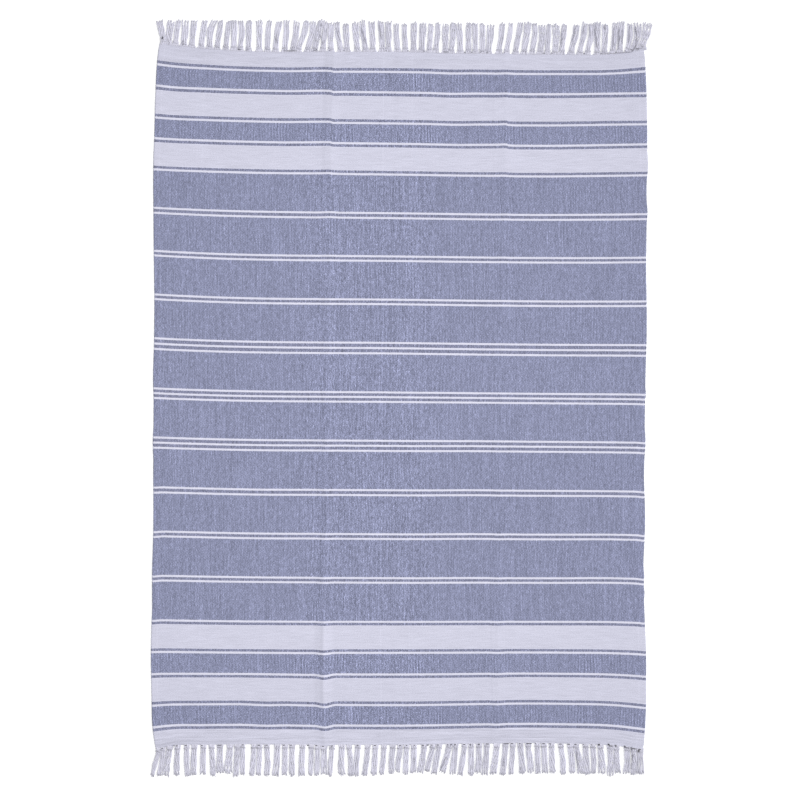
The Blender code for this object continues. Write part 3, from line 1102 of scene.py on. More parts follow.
@dataclass(frozen=True)
class YarnPly:
    """The plies of a spun yarn that wind round it.

    Group inputs: Around, from 0 to 1, and Length along the yarn in mm.
    Group outputs: Groove, 1 in the grooves between plies, and Height.
    """

    plies: int = 3
    turn_length: float = 9.0
    groove_to: float = -0.2

    def group(self) -> GroupKit:
        """Builds the node group.

        Returns:
            The group, ready to be placed.
        """
        kit = GroupKit("yarn_ply", {"Around": 0.0, "Length": 0.0}, ["Groove", "Height"])
        g = kit.graph
        turns = g.math("MULTIPLY_ADD", kit.given["Length"], 1 / self.turn_length, kit.given["Around"])
        wave = g.math("SINE", g.math("MULTIPLY", turns, 2 * math.pi * self.plies))
        kit.put_out("Groove", g.ramp(wave, -1.0, self.groove_to, 1.0, 0.0))
        kit.put_out("Height", wave)
        return kit


@dataclass(frozen=True)
class CottonSurface:
    """How matt a cotton is, and how far its threads stand up: its relief, in metres."""

    roughness: float
    sheen: float
    relief: float
    relief_strength: float

    def dress(self, g: Graph, colour: Socket, height: Socket) -> None:
        """Gives a material this surface.

        Args:
            g: The material's graph.
            colour: Its colour at each place.
            height: The height of its threads, around 0 or from 0 to 1.
        """
        shader = g.tree.nodes["Principled BSDF"]
        g.feed(shader.inputs["Base Color"], colour)
        g.feed(shader.inputs["Roughness"], self.roughness)
        g.feed(shader.inputs["Sheen Weight"], self.sheen)
        bump = g.add("Bump")
        g.feed(bump.inputs["Strength"], self.relief_strength)
        g.feed(bump.inputs["Distance"], self.relief)
        g.feed(bump.inputs["Height"], height)
        g.feed(shader.inputs["Normal"], bump.outputs[0])


class Speckle(NamedTuple):
    """How strongly the blue parts of the cloth vary in tone, as shares, from thread to thread."""

    rib: float
    strand: float
    column: float
    fibre: float


@dataclass(frozen=True)
class StripedCotton:
    """Finish of the cloth: undyed warp with blue-grey and undyed weft.

    The colours are base colours in linear light. Shares, ribs, rows and tones are shares of them, and
    places, widths, sizes and reaches are in mm.
    """

    fuzz: GroupKit
    blue_weft: Colour = (0.169, 0.187, 0.311, 1.0)
    pin_weft: Colour = (0.149, 0.160, 0.262, 1.0)
    undyed: Colour = (0.575, 0.575, 0.690, 1.0)
    bright_undyed: Colour = (0.620, 0.620, 0.730, 1.0)
    surface: CottonSurface = CottonSurface(0.93, 0.12, 0.22 * MM, 0.7)
    fibre_size: float = 1.8
    blotch: float = 0.014
    in_field: Speckle = Speckle(0.04, 0.31, 0.13, 0.51)
    in_border: Speckle = Speckle(0.11, 0.29, 0.12, 0.70)
    pin_rib: float = -0.07
    coarse_at: float = -75.0
    coarse_half_width: float = 155.0
    coarse_fade: float = 45.0
    coarse_gain: float = 1.32
    border_from: float = 546.0
    least_warp: float = 0.11
    raised_warp: float = 0.13
    pick_tone: float = 0.075
    undyed_fibre: float = 0.175
    band_edge_tone: float = 0.06
    band_edge_reach: float = 2.4
    hem_from: float = 804.0
    hem_fade: float = 1.0
    hem_tone: float = -0.02
    top_hem_rows: float = 0.05
    bottom_hem_rows: float = 0.115
    edge_wobble: float = 0.35
    edge_softness: float = 0.35

    def bars(self, g: Graph, across: Socket) -> Socket:
        """The tone of the warp bars, and of the painted shade beside fold A's crease, at each place across
        the cloth.

        Args:
            g: The material's graph.
            across: The place across the cloth in mm.

        Returns:
            The tone, around 0.
        """
        tone: Value = 0.0
        for bar in WARP_BARS_AND_CREASE_SHADE:
            away = g.math("ABSOLUTE", g.math("SUBTRACT", across, bar.across))
            tone = g.math("ADD", g.ramp(away, 0.0, bar.half_width, bar.tone, 0.0), tone)
        return tone

    def coarseness(self, g: Graph, across: Socket) -> Socket:
        """How much coarser the cloth is than usual: 1 at the sides, and more left of the middle.

        Args:
            g: The material's graph.
            across: The place across the cloth in mm.

        Returns:
            What the unevenness of the blue is multiplied by.
        """
        away = g.math("ABSOLUTE", g.math("SUBTRACT", across, self.coarse_at))
        fade = (self.coarse_half_width - self.coarse_fade, self.coarse_half_width + self.coarse_fade)
        return g.ramp(away, *fade, self.coarse_gain, 1.0)

    def blue_tone(
        self, g: Graph, across: Socket, weave: Outputs, fibre: Socket, in_pin: Socket, in_border: Socket
    ) -> Socket:
        """How light or dark the blue weft is at each place.

        Args:
            g: The material's graph.
            across: The place across the cloth in mm.
            weave: The outputs of the placed weave.
            fibre: The fibres' height, around 0.
            in_pin: 1 in the pin stripes.
            in_border: 1 in the two borders.

        Returns:
            A tone around 1.
        """
        both = zip(self.in_field, self.in_border)
        rib, *others = [g.math("MULTIPLY_ADD", in_border, high - low, low) for low, high in both]
        tone = g.math("MULTIPLY", weave["Rib"], g.math("MULTIPLY_ADD", in_pin, self.pin_rib, rib))
        for part, share in zip((weave["Strand"], weave["Column"], fibre), others):
            tone = g.math("MULTIPLY_ADD", part, share, tone)
        return g.math("EXPONENT", g.math("MULTIPLY", tone, self.coarseness(g, across)))

    def undyed_tone(self, g: Graph, along: Socket, reach: Socket, weave: Outputs, fibre: Socket) -> Socket:
        """How light or dark the undyed weft is at each place.

        Args:
            g: The material's graph.
            along: The place along the cloth in mm.
            reach: How far inside an undyed band it is, in mm.
            weave: The outputs of the placed weave.
            fibre: The fibres' height, around 0.

        Returns:
            A tone around 1.
        """
        edge = g.ramp(reach, self.band_edge_reach / 2, self.band_edge_reach, self.band_edge_tone, 0.0)
        in_top = g.ramp(along, self.hem_from, self.hem_from + self.hem_fade)
        in_bottom = g.ramp(along, -self.hem_from - self.hem_fade, -self.hem_from, 1.0, 0.0)
        rows = g.math("MULTIPLY", in_top, self.top_hem_rows)
        rows = g.math("MULTIPLY_ADD", in_bottom, self.bottom_hem_rows, rows)
        rows = g.math("MULTIPLY", rows, weave["Row"])
        hem = g.math("MULTIPLY", g.math("ADD", in_top, in_bottom), self.hem_tone)
        tone = g.math("MULTIPLY_ADD", weave["Pick"], self.pick_tone, 1.0)
        tone = g.math("MULTIPLY_ADD", fibre, self.undyed_fibre, tone)
        return g.total(tone, edge, hem, rows)

    def material(self) -> bpy.types.Material:
        """Builds the material.

        Returns:
            The material, which reads cloth_place and stripe_reach from the mesh.
        """
        made = bpy.data.materials.new("striped_cotton")
        made.use_nodes = True
        g = Graph(made.node_tree)
        place = g.stored("cloth_place")
        across, along, _ = g.parts(place)
        pin_reach, undyed_reach, line_reach = g.parts(g.stored("stripe_reach"))
        weave = PlainWeave().group().placed(g, Across=across, Along=along)
        fuzz = self.fuzz.placed(g, Place=place, Fibre_Size=self.fibre_size, Blotch=self.blotch, Fibre=0.0)

        wobble = g.math("MULTIPLY", weave["Strand"], self.edge_wobble)
        soft = self.edge_softness
        in_undyed = g.ramp(g.math("ADD", undyed_reach, wobble), -soft, soft)
        in_line = g.ramp(g.math("ADD", line_reach, wobble), -soft, soft)
        in_pin = g.ramp(g.math("SUBTRACT", pin_reach, wobble), -soft, soft)
        in_border = g.math("GREATER_THAN", g.math("ABSOLUTE", along), self.border_from)

        warp_shows = g.math("MULTIPLY_ADD", weave["Warp Up"], self.raised_warp, self.least_warp)
        blue = g.mix(warp_shows, g.mix(in_pin, self.blue_weft, self.pin_weft), self.undyed)
        blue = g.scaled(blue, self.blue_tone(g, across, weave, fuzz["Height"], in_pin, in_border))
        undyed = g.mix(in_line, self.undyed, self.bright_undyed)
        undyed = g.scaled(undyed, self.undyed_tone(g, along, undyed_reach, weave, fuzz["Height"]))
        cloth = g.mix(g.math("MAXIMUM", in_undyed, in_line), blue, undyed)
        # The cotton's blotches and fibres, the warp bars, and painted shade beside a crease.
        fuzz_bars_and_shade = g.total(1.0, fuzz["Tone"], self.bars(g, across))
        self.surface.dress(g, g.scaled(cloth, fuzz_bars_and_shade), weave["Height"])
        return made


@dataclass(frozen=True)
class UndyedYarn:
    """Finish of the fringe: soft undyed yarn of three plies, with painted shade in the grooves between the
    plies.
    """

    fuzz: GroupKit
    colour: Colour = (0.655, 0.648, 0.750, 1.0)
    # The colour of the painted shade in the grooves between the plies.
    groove_shade: Colour = (0.505, 0.500, 0.605, 1.0)
    surface: CottonSurface = CottonSurface(0.95, 0.15, 0.16 * MM, 0.8)
    fibre_size: float = 2.4
    blotch: float = 0.02
    fibre: float = 0.06
    fibre_height: float = 0.2
    groove_shade_share: float = 0.35
    yarn_contrast: float = 0.12

    def material(self) -> bpy.types.Material:
        """Builds the material.

        Returns:
            The material, which reads yarn_place and cloth_place from the mesh.
        """
        made = bpy.data.materials.new("undyed_yarn")
        made.use_nodes = True
        g = Graph(made.node_tree)
        around, length, own = g.parts(g.stored("yarn_place"))
        ply = YarnPly().group().placed(g, Around=around, Length=length)
        place = g.stored("cloth_place")
        fuzz = self.fuzz.placed(
            g, Place=place, Fibre_Size=self.fibre_size, Blotch=self.blotch, Fibre=self.fibre
        )
        # Painted shade: darker in the grooves between the plies.
        colour = g.mix(g.math("MULTIPLY", ply["Groove"], self.groove_shade_share), self.colour, self.groove_shade)
        # own makes each yarn lighter or darker at random, and makes the knots' turns, the dark strands and
        # the dark yarn between the roots darker as painted shade.
        tone = g.total(1.0, g.math("MULTIPLY", own, self.yarn_contrast), fuzz["Tone"])
        height = g.math("MULTIPLY_ADD", fuzz["Height"], self.fibre_height, ply["Height"])
        self.surface.dress(g, g.scaled(colour, tone), height)
        return made


@dataclass(frozen=True)
class WovenCloth:
    """The cloth itself: one closed sheet, fine on top and coarser below."""

    lay: Lay
    plan: StripePlan
    name: str = "striped_cloth"
    node: str = "woven_cloth"
    slot: str = "striped_cotton_cloth"
    usual_step: float = 8.0 * MM
    fold_step: float = 3.0 * MM
    selvedge_step: float = 0.8 * MM
    selvedge_reach: float = 3.0 * MM
    rim_radius: float = 2.0 * MM
    rim_height_share: float = 0.4
    under_inset: float = 0.7 * MM
    under_rows: int = 7
    under_columns: int = 6
    fold_margin: float = 8.0 * MM
    samples: int = 6001
    pucker: float = 0.16 * MM
    puckers: Unevenness = Unevenness(5, 34 * MM, 60 * MM)

    def columns(self) -> np.ndarray:
        """Places of the mesh's columns across the cloth, closer at the selvedges and the folds.

        Returns:
            The places, from left to right.
        """
        fine = np.linspace(-self.lay.width / 2, self.lay.width / 2, self.samples)
        per_metre = np.full(len(fine), 1 / self.usual_step)
        for fold in FOLDS:
            middle = (fold.bottom_at + fold.top_at) / 2 * MM
            near = np.abs(fine - middle) < self.lay.fold_half_width + self.fold_margin
            per_metre = np.where(near, 1 / self.fold_step, per_metre)
        from_edge = self.lay.width / 2 - np.abs(fine)
        per_metre = np.where(from_edge < self.selvedge_reach, 1 / self.selvedge_step, per_metre)
        counted = np.concatenate([[0.0], np.cumsum((per_metre[1:] + per_metre[:-1]) / 2 * np.diff(fine))])
        return np.interp(np.linspace(0, counted[-1], round(counted[-1]) + 1), counted, fine)

    def rows(self) -> np.ndarray:
        """Places of the mesh's rows along the cloth, on every edge of every stripe.

        Returns:
            The places, from the bottom end to the top end.
        """
        places: list[float] = []
        for stripe in self.plan.stripes():
            places += list(np.linspace(stripe.low, stripe.high, STEPS[stripe.weft] + 1)[:-1])
        half = self.lay.length / 2
        near_end = [half - gap * MM for gap in ROWS_NEAR_END]
        return np.array(sorted([*places, half, *near_end, *(-place for place in near_end)]))

    def top(self, across: np.ndarray, along: np.ndarray, lift: np.ndarray) -> np.ndarray:
        """Height of the upper face: the folds, the stripes' relief, small puckers and the rounded rim.

        Args:
            across: Places across the cloth.
            along: Places along it.
            lift: How far the folds lift the cloth there.

        Returns:
            The height above the floor at each place.
        """
        relief = sum(row.height * ease(self.plan.reach(along, row.wefts) / row.rise) for row in RELIEFS)
        relief += self.pucker * self.puckers.at(across, along)
        from_side = self.lay.width / 2 - np.abs(across)
        from_end = self.lay.length / 2 - np.abs(along)
        inward = np.clip(np.minimum(from_side, from_end) / self.rim_radius, 0, 1)
        rim = self.rim_height_share + (1 - self.rim_height_share) * np.sqrt(1 - (1 - inward) ** 2)
        return lift + self.lay.thickness * rim + relief * inward

    def build(self) -> tuple[np.ndarray, list, np.ndarray, np.ndarray]:
        """Works out the mesh.

        Returns:
            Its points, its faces, and what each point stores as cloth_place and as stripe_reach.
        """
        columns, rows = self.columns(), self.rows()
        across, along = (grid.ravel() for grid in np.meshgrid(columns, rows))
        x, y, lift = self.lay.place(across, along)
        upper = np.stack([x, y, self.top(across, along, lift)], axis=1)

        count = len(columns)
        kept_columns = sorted({*range(0, count, self.under_columns), count - 1})
        kept_rows = sorted({*range(0, len(rows), self.under_rows), len(rows) - 1})
        half_width = self.lay.width / 2 - self.under_inset
        half_length = self.lay.length / 2 - self.under_inset
        under_across, under_along = (
            grid.ravel() for grid in np.meshgrid(columns[kept_columns], rows[kept_rows])
        )
        inset_across = np.clip(under_across, -half_width, half_width)
        inset_along = np.clip(under_along, -half_length, half_length)
        x, y, lift = self.lay.place(inset_across, inset_along)
        lower = np.stack([x, y, lift], axis=1)

        first_lower = len(upper)
        faces = grid_faces(len(rows), count)
        under = grid_faces(len(kept_rows), len(kept_columns), first_lower)
        faces += [[face[0], *reversed(face[1:])] for face in under]
        faces += self.rim_faces(kept_rows, kept_columns, count, first_lower)

        all_across = np.concatenate([across, under_across])
        all_along = np.concatenate([along, under_along])
        places, reaches = cloth_data(self.plan, all_across, all_along)
        return np.concatenate([upper, lower]), faces, places, reaches

    def rim_faces(self, rows: list[int], columns: list[int], count: int, first_lower: int) -> list[list[int]]:
        """The upright faces round the rim, each from one coarse step below to several fine ones above.

        Args:
            rows: The rows that the lower face keeps.
            columns: The columns that it keeps.
            count: How many points a row of the upper face has.
            first_lower: The number of the lower face's first point.

        Returns:
            The faces, turned outwards.
        """
        wide = len(columns)
        last_row, last_column = rows[-1], columns[-1]
        faces = []
        for k in range(wide - 1):
            here, after = columns[k], columns[k + 1]
            above = list(range(here, after + 1))
            faces.append([first_lower + k, first_lower + k + 1, *reversed(above)])
            low = first_lower + (len(rows) - 1) * wide + k
            faces.append([low + 1, low, *(last_row * count + j for j in above)])
        for k in range(len(rows) - 1):
            above = [i * count for i in range(rows[k], rows[k + 1] + 1)]
            low = first_lower + k * wide
            faces.append([low + wide, low, *above])
            low += wide - 1
            faces.append([low, low + wide, *(i + last_column for i in reversed(above))])
        return faces

    def make(self, finish: bpy.types.Material) -> bpy.types.Object:
        """Builds and dresses the cloth.

        Args:
            finish: The striped cotton.

        Returns:
            The cloth, which replaces its CAD node.
        """
        points, faces, places, reaches = self.build()
        made = new_object(self.name, points, faces, finish)
        add_places(made, "cloth_place", places)
        add_places(made, "stripe_reach", reaches)
        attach(made, ROOT_BODY)
        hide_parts(self.node)
        return made


def cloth_data(plan: StripePlan, across: np.ndarray, along: np.ndarray) -> tuple[np.ndarray, np.ndarray]:
    """What the cloth's material reads at each point.

    Args:
        plan: The stripes.
        across: Places across the cloth.
        along: Places along it.

    Returns:
        The place in mm, and how far it lies inside the pin, undyed and line stripes.
    """
    places = np.stack([across / MM, along / MM, np.zeros(len(across))], axis=1)
    kinds = ({Weft.PIN}, {Weft.BAND, Weft.HEM}, {Weft.LINE})
    return places, np.stack([plan.reach(along, kind) for kind in kinds], axis=1)


class Tubes:
    """Collects round tubes of yarn into one mesh."""

    def __init__(self) -> None:
        """Starts with nothing."""
        self.points: list[np.ndarray] = []
        self.faces: list[list[int]] = []
        self.yarn: list[np.ndarray] = []
        self.count = 0

    def add(self, path: np.ndarray, radii: np.ndarray, sides: int, up: Vector3, own: float) -> None:
        """Adds a tube along a path, closed at both ends.

        Args:
            path: Its middle line, a row for each ring.
            radii: The radius at each ring.
            sides: How many sides it has.
            up: A direction that the path never follows.
            own: How light or dark this yarn is, as the material reads it: most lie between -1 and 1, and far
                lower values darken a tube as painted shade.
        """
        forward = np.gradient(path, axis=0)
        forward /= np.linalg.norm(forward, axis=1, keepdims=True)
        side = np.cross(forward, up)
        side /= np.linalg.norm(side, axis=1, keepdims=True)
        above = np.cross(side, forward)
        angles = np.arange(sides) * 2 * math.pi / sides
        ring = np.cos(angles)[None, :, None] * side[:, None, :]
        ring = ring + np.sin(angles)[None, :, None] * above[:, None, :]
        points = path[:, None, :] + ring * radii[:, None, None]
        self.points.append(points.reshape(-1, 3))
        steps = np.linalg.norm(np.diff(path, axis=0), axis=1)
        length = np.concatenate([[0.0], np.cumsum(steps)]) / MM
        yarn = np.zeros((len(path), sides, 3))
        yarn[:, :, 0] = angles / (2 * math.pi)
        yarn[:, :, 1] = length[:, None]
        yarn[:, :, 2] = own
        self.yarn.append(yarn.reshape(-1, 3))
        first = self.count
        for i in range(len(path) - 1):
            for j in range(sides):
                a, b = first + i * sides + j, first + i * sides + (j + 1) % sides
                self.faces.append([a, b, b + sides, a + sides])
        self.faces.append([first + j for j in reversed(range(sides))])
        self.count += len(path) * sides
        self.faces.append([self.count - sides + j for j in range(sides)])

    def make(self, name: str, finish: bpy.types.Material) -> bpy.types.Object:
        """Makes one object of all the tubes, which stores yarn_place and cloth_place.

        Args:
            name: The piece's name.
            finish: Its material.

        Returns:
            The object.
        """
        points = np.concatenate(self.points)
        made = new_object(name, points, self.faces, finish)
        add_places(made, "yarn_place", np.concatenate(self.yarn))
        add_places(made, "cloth_place", points / MM)
        return made


@dataclass(frozen=True)
class SelvedgeTurns:
    """The turns of the weft round the outermost warp ends, along both sides of the cloth.

    seat and end_share are shares of the radius: how far a turn sinks into the cloth's faces, and how thin
    its ends are. slant is the share of the pitch that a turn moves along.
    """

    lay: Lay
    plan: StripePlan
    name: str = "selvedge_turns"
    slot: str = "striped_cotton_cloth"
    pitch: float = 3.35 * MM
    radius: float = 0.95 * MM
    sides: int = 5
    rings: int = 6
    inward: float = 3.6 * MM
    outward: float = 0.25 * MM
    outward_spread: float = 0.8
    slant: float = 0.9
    seat: float = 0.8
    end_share: float = 0.7
    turns_left_out: int = 3
    seed: int = 41

    def make(self, finish: bpy.types.Material) -> bpy.types.Object:
        """Builds and dresses the turns.

        Args:
            finish: The striped cotton.

        Returns:
            One object of all the turns.
        """
        chance = random.Random(self.seed)
        tubes = Tubes()
        alongs: list[np.ndarray] = []
        acrosses: list[np.ndarray] = []
        half_width = self.lay.width / 2
        margin = self.turns_left_out * self.pitch
        count = int((self.lay.length - 2 * margin) / self.pitch)
        turn = np.linspace(0.0, math.pi, self.rings)
        radii = self.radius * np.array([self.end_share, *[1.0] * (self.rings - 2), self.end_share])
        for side in (-1, 1):
            for k in range(count):
                start = -self.lay.length / 2 + margin + k * self.pitch
                out = self.outward * (1 + chance.uniform(-self.outward_spread, self.outward_spread))
                across = side * (half_width - self.inward + (self.inward + out) * np.sin(turn))
                along = start + self.pitch * np.linspace(0.0, self.slant, self.rings)
                x, y, lift = self.lay.place(across, along)
                middle = self.lay.thickness / 2
                z = lift + middle + (middle - self.radius * self.seat) * np.cos(turn)
                tubes.add(np.stack([x, y, z], axis=1), radii, self.sides, ALONG_CLOTH, chance.uniform(-1, 1))
                acrosses.append(np.repeat(across, self.sides))
                alongs.append(np.full(self.rings * self.sides, start))
        made = tubes.make(self.name, finish)
        places, reaches = cloth_data(self.plan, np.concatenate(acrosses), np.concatenate(alongs))
        made.data.attributes["cloth_place"].data.foreach_set("vector", places.astype(np.float32).ravel())
        add_places(made, "stripe_reach", reaches)
        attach(made, ROOT_BODY)
        return made


@dataclass(frozen=True)
class Lock:
    """One lock of the fringe: its root and tip in the world, and the x that its middle line passes."""

    root: np.ndarray
    tip: np.ndarray
    passes: tuple[float, ...]
    tip_width: float

    def frame_at(self, share: np.ndarray) -> tuple[np.ndarray, np.ndarray]:
        """The middle line on the floor and its sideways direction.

        Args:
            share: Shares of the way from the root to the tip.

        Returns:
            World x and y of the middle line, a row each, and the direction to its right.
        """
        run = self.tip - self.root
        right = np.array((run[1], -run[0])) / np.linalg.norm(run)
        x = smooth_through(np.array(LOCK_READ_AT), np.array(self.passes), share)
        return np.column_stack([x, self.root[1] + run[1] * share]), right


@dataclass(frozen=True)
class Fringe:
    """The warp ends past one end of the cloth, knotted into locks.

    Spreads, tapers, apart and sunk are shares of what they change or of the radius. Waves and slant_from are
    in radians, and knot_turns in whole turns. Shades and own are what the yarn's material reads: the shades
    of the knots and of the dark yarn between the roots are painted shade.
    """

    lay: Lay
    name: str
    node: str
    side: int
    shapes: tuple[tuple[float, ...], ...]
    # Painted shade: dark yarn between the roots and dark strands among the locks, where it lies and how dark
    # it is.
    shade_dashes: tuple[tuple[float, float], ...]
    shade_streaks: tuple[ShadeStreak, ...]
    dash_out: float
    dash_shade: float
    root_flare: float
    knot_shade: float
    seed: int
    slot: str = "undyed_cotton_fringe"
    root_lead: float = 0.25
    yarns: int = 7
    yarn_radius: float = 1.70 * MM
    radius_spread: float = 0.10
    yarn_sides: int = 6
    yarn_rings: int = 20
    ring_crowding: float = 1.15
    wander: float = 0.35 * MM
    wander_waves: tuple[float, float] = (5.0, 11.0)
    wander_start: float = 6.0
    floor_gap: float = 0.05 * MM
    end_taper: tuple[float, float] = (0.9, 0.6)
    root_inset: float = 1.5 * MM
    flare_from: float = 0.45
    flare_share_above: float = 0.5
    tip_girth: float = 14.8 * MM
    twist_least: float = 0.15
    twist_most: float = 0.75
    knot_at: float = 7.6 * MM
    knot_strands: int = 2
    knot_rings: int = 17
    knot_radius: float = 1.0 * MM
    knot_turns: tuple[float, float] = (-0.3, 1.1)
    knot_apart: float = 1.9
    knot_slant: float = 1.1 * MM
    knot_slant_from: float = 0.6
    knot_advance: float = 0.5 * MM
    knot_sunk: float = 0.4
    end_uneven: float = 0.06
    end_round: float = 0.045
    wisps: int = 5
    wisp_rings: int = 4
    wisp_sides: int = 4
    wisp_radius: float = 0.75 * MM
    wisp_lead: float = 8.0 * MM
    wisp_reach: tuple[float, float] = (6.5 * MM, 12.5 * MM)
    wisp_aside: float = 1.9 * MM
    wisp_rise: tuple[float, float] = (-0.6 * MM, 0.3 * MM)
    wisp_open: float = 0.3
    wisp_bend: float = 1.4
    wisp_own: float = 0.2
    wisp_own_spread: float = 0.5
    dash_radius: float = 1.1 * MM
    dash_height: float = 3.6 * MM
    dash_taper: tuple[float, ...] = (0.4, 1.0, 1.0, 1.0, 1.0, 0.4)

    def locks(self) -> list[Lock]:
        """Works out where each lock lies.

        Returns:
            The locks, from left to right.
        """
        edge_x, edge_y, _ = self.lay.end_line(self.side)
        found: list[Lock] = []
        for shape in (LockShape(*row) for row in self.shapes):
            start = shape.root + (shape.root - shape.middle) * self.root_lead
            passes = tuple(photo_x(at) for at in (start, shape.root, shape.middle, shape.tip))
            root = np.array((passes[0], np.interp(passes[0], edge_x, edge_y)))
            tip = np.array((passes[-1], photo_y(shape.tip_down)))
            found.append(Lock(root, tip, passes, shape.tip_width * PIXEL))
        return found

    def add_yarns(self, tubes: Tubes, lock: Lock, chance: random.Random) -> None:
        """Adds the yarns of one lock, which fan out of the cloth and gather into a twisted bundle.

        Args:
            tubes: The fringe's tubes.
            lock: The lock.
            chance: The fringe's own random numbers.
        """
        share = np.linspace(0.0, 1.0, self.yarn_rings) ** self.ring_crowding
        length = np.linalg.norm(lock.tip - lock.root)
        reaches = [girth.reach for girth in LOCK_GIRTHS]
        half_width = np.interp(share, reaches, [girth.width / 2 * MM for girth in LOCK_GIRTHS])
        half_height = np.interp(share, reaches, [girth.height / 2 * MM for girth in LOCK_GIRTHS])
        flare = lock.tip_width / self.tip_girth
        opened = ease((share - self.flare_from) / (1 - self.flare_from))
        opened = self.flare_share_above + (1 - self.flare_share_above) * opened
        half_width *= 1 + (flare - 1) * opened
        half_width[0] *= self.root_flare
        start_angle = chance.uniform(0, 2 * math.pi)
        twist = chance.choice((-1, 1)) * chance.uniform(self.twist_least, self.twist_most) * 2 * math.pi
        gathered = ease(share * length / self.knot_at)
        outer = self.yarns - 1
        angles = [start_angle + 2 * math.pi * k / outer for k in range(outer)]
        order = sorted(range(outer), key=lambda k: math.cos(angles[k]))
        order.insert(outer // 2, outer)
        for place, k in enumerate(order):
            own = chance.uniform(-1, 1)
            radius = self.yarn_radius * (1 + self.radius_spread * chance.uniform(-1, 1))
            fanned = (place - outer / 2) / (outer / 2)
            end_at = 1.0 - chance.uniform(0.0, self.end_uneven) - self.end_round * fanned**2
            centre, right = lock.frame_at(share * end_at)
            if k < outer:
                angle = angles[k] + twist * share
                aside = np.cos(angle) * (half_width - radius)
                rise = np.sin(angle) * np.maximum(half_height - radius, 0)
            else:
                aside = np.zeros(len(share))
                rise = np.zeros(len(share))
            aside = aside * gathered + fanned * (half_width[0] - radius) * (1 - gathered)
            waves = share * chance.uniform(*self.wander_waves)
            wander = self.wander * np.sin(waves + chance.uniform(0, self.wander_start))
            height = np.maximum(half_height, radius) + rise
            height = height * gathered + (1 - gathered) * (self.lay.thickness / 2)
            height = np.maximum(height, radius + self.floor_gap)
            spot = centre + right * (aside + wander * gathered)[:, None]
            path = np.column_stack([spot, height])
            path[0, :2] += (lock.root - lock.tip) / length * self.root_inset
            radii = np.full(len(share), radius)
            radii[-2:] *= self.end_taper
            tubes.add(path, radii, self.yarn_sides, UP, own)
            self.add_wisps(tubes, path, right, chance)

    def add_wisps(self, tubes: Tubes, path: np.ndarray, right: np.ndarray, chance: random.Random) -> None:
        """Adds the loose ply ends past the end of one yarn.

        Args:
            tubes: The fringe's tubes.
            path: The yarn's middle line.
            right: The direction to the lock's right.
            chance: The fringe's own random numbers.
        """
        forward = path[-1] - path[-2]
        forward /= np.linalg.norm(forward)
        start = path[-1] - forward * self.wisp_lead
        share = np.linspace(0.0, 1.0, self.wisp_rings)[:, None]
        opened = self.wisp_open + (1 - self.wisp_open) * share**self.wisp_bend
        radii = np.full(self.wisp_rings, self.wisp_radius)
        radii[-1] *= self.end_taper[-1]
        for _ in range(self.wisps):
            reach = chance.uniform(*self.wisp_reach)
            aside = chance.uniform(-1, 1) * self.wisp_aside
            spread = np.array([*(right * aside), chance.uniform(*self.wisp_rise)])
            wisp = start + forward * share * reach + spread * opened
            wisp[:, 2] = np.maximum(wisp[:, 2], self.wisp_radius)
            own = self.wisp_own + chance.uniform(-self.wisp_own_spread, self.wisp_own_spread)
            tubes.add(wisp, radii, self.wisp_sides, UP, own)

    def add_knot(self, tubes: Tubes, lock: Lock, chance: random.Random) -> None:
        """Adds the turns of yarn that tie one lock close to the cloth.

        Args:
            tubes: The fringe's tubes.
            lock: The lock.
            chance: The fringe's own random numbers.
        """
        length = np.linalg.norm(lock.tip - lock.root)
        half_width, half_height = KNOT_GIRTH.width / 2 * MM, KNOT_GIRTH.height / 2 * MM
        sunk = self.knot_radius * self.knot_sunk
        run = (lock.tip - lock.root) / length
        radii = np.full(self.knot_rings, self.knot_radius)
        hand = chance.choice((-1, 1))
        for strand in range(self.knot_strands):
            turn = np.linspace(*self.knot_turns, self.knot_rings) * 2 * math.pi
            middle = self.knot_at + (strand - 0.5) * self.knot_apart * self.knot_radius
            slant = np.sin(turn + self.knot_slant_from) * self.knot_slant * hand
            share = (middle + slant + turn / (2 * math.pi) * self.knot_advance) / length
            centre, right = lock.frame_at(share)
            spot = centre + right * (np.cos(turn) * (half_width - sunk))[:, None]
            rise = np.sin(turn) * (half_height - sunk)
            path = np.column_stack([spot, np.maximum(half_height + rise, self.knot_radius)])
            # Painted shade: the knot's turns are darker than the yarns, where shadow falls in the knot.
            own = self.knot_shade + chance.uniform(-1, 1)
            tubes.add(path, radii, self.yarn_sides, (run[0], run[1], 0.0), own)

    def add_painted_shade(self, tubes: Tubes) -> None:
        """Adds dark yarn as painted shade, here and there between the roots and as dark strands among the
        locks.

        Args:
            tubes: The fringe's tubes.
        """
        edge_x, edge_y, _ = self.lay.end_line(self.side)
        taper = np.array(self.dash_taper)
        share = np.linspace(0.0, 1.0, len(taper))
        # Painted shade: dark yarn laid where the hollows between the roots fall in shadow.
        for first, last in self.shade_dashes:
            x = np.linspace(photo_x(first), photo_x(last), len(taper))
            y = np.interp(x, edge_x, edge_y) + self.side * self.dash_out
            path = np.column_stack([x, y, np.full(len(taper), self.dash_height)])
            tubes.add(path, taper * self.dash_radius, self.yarn_sides, UP, self.dash_shade)
        # Painted shade: dark strands where shadow falls between the locks.
        for shade_streak in self.shade_streaks:
            x = photo_x(shade_streak.right + (shade_streak.end_right - shade_streak.right) * share)
            y = photo_y(shade_streak.down + (shade_streak.end_down - shade_streak.down) * share)
            path = np.column_stack([x, y, np.full(len(taper), shade_streak.height * MM)])
            tubes.add(path, taper * shade_streak.radius * MM, self.yarn_sides, UP, shade_streak.own)

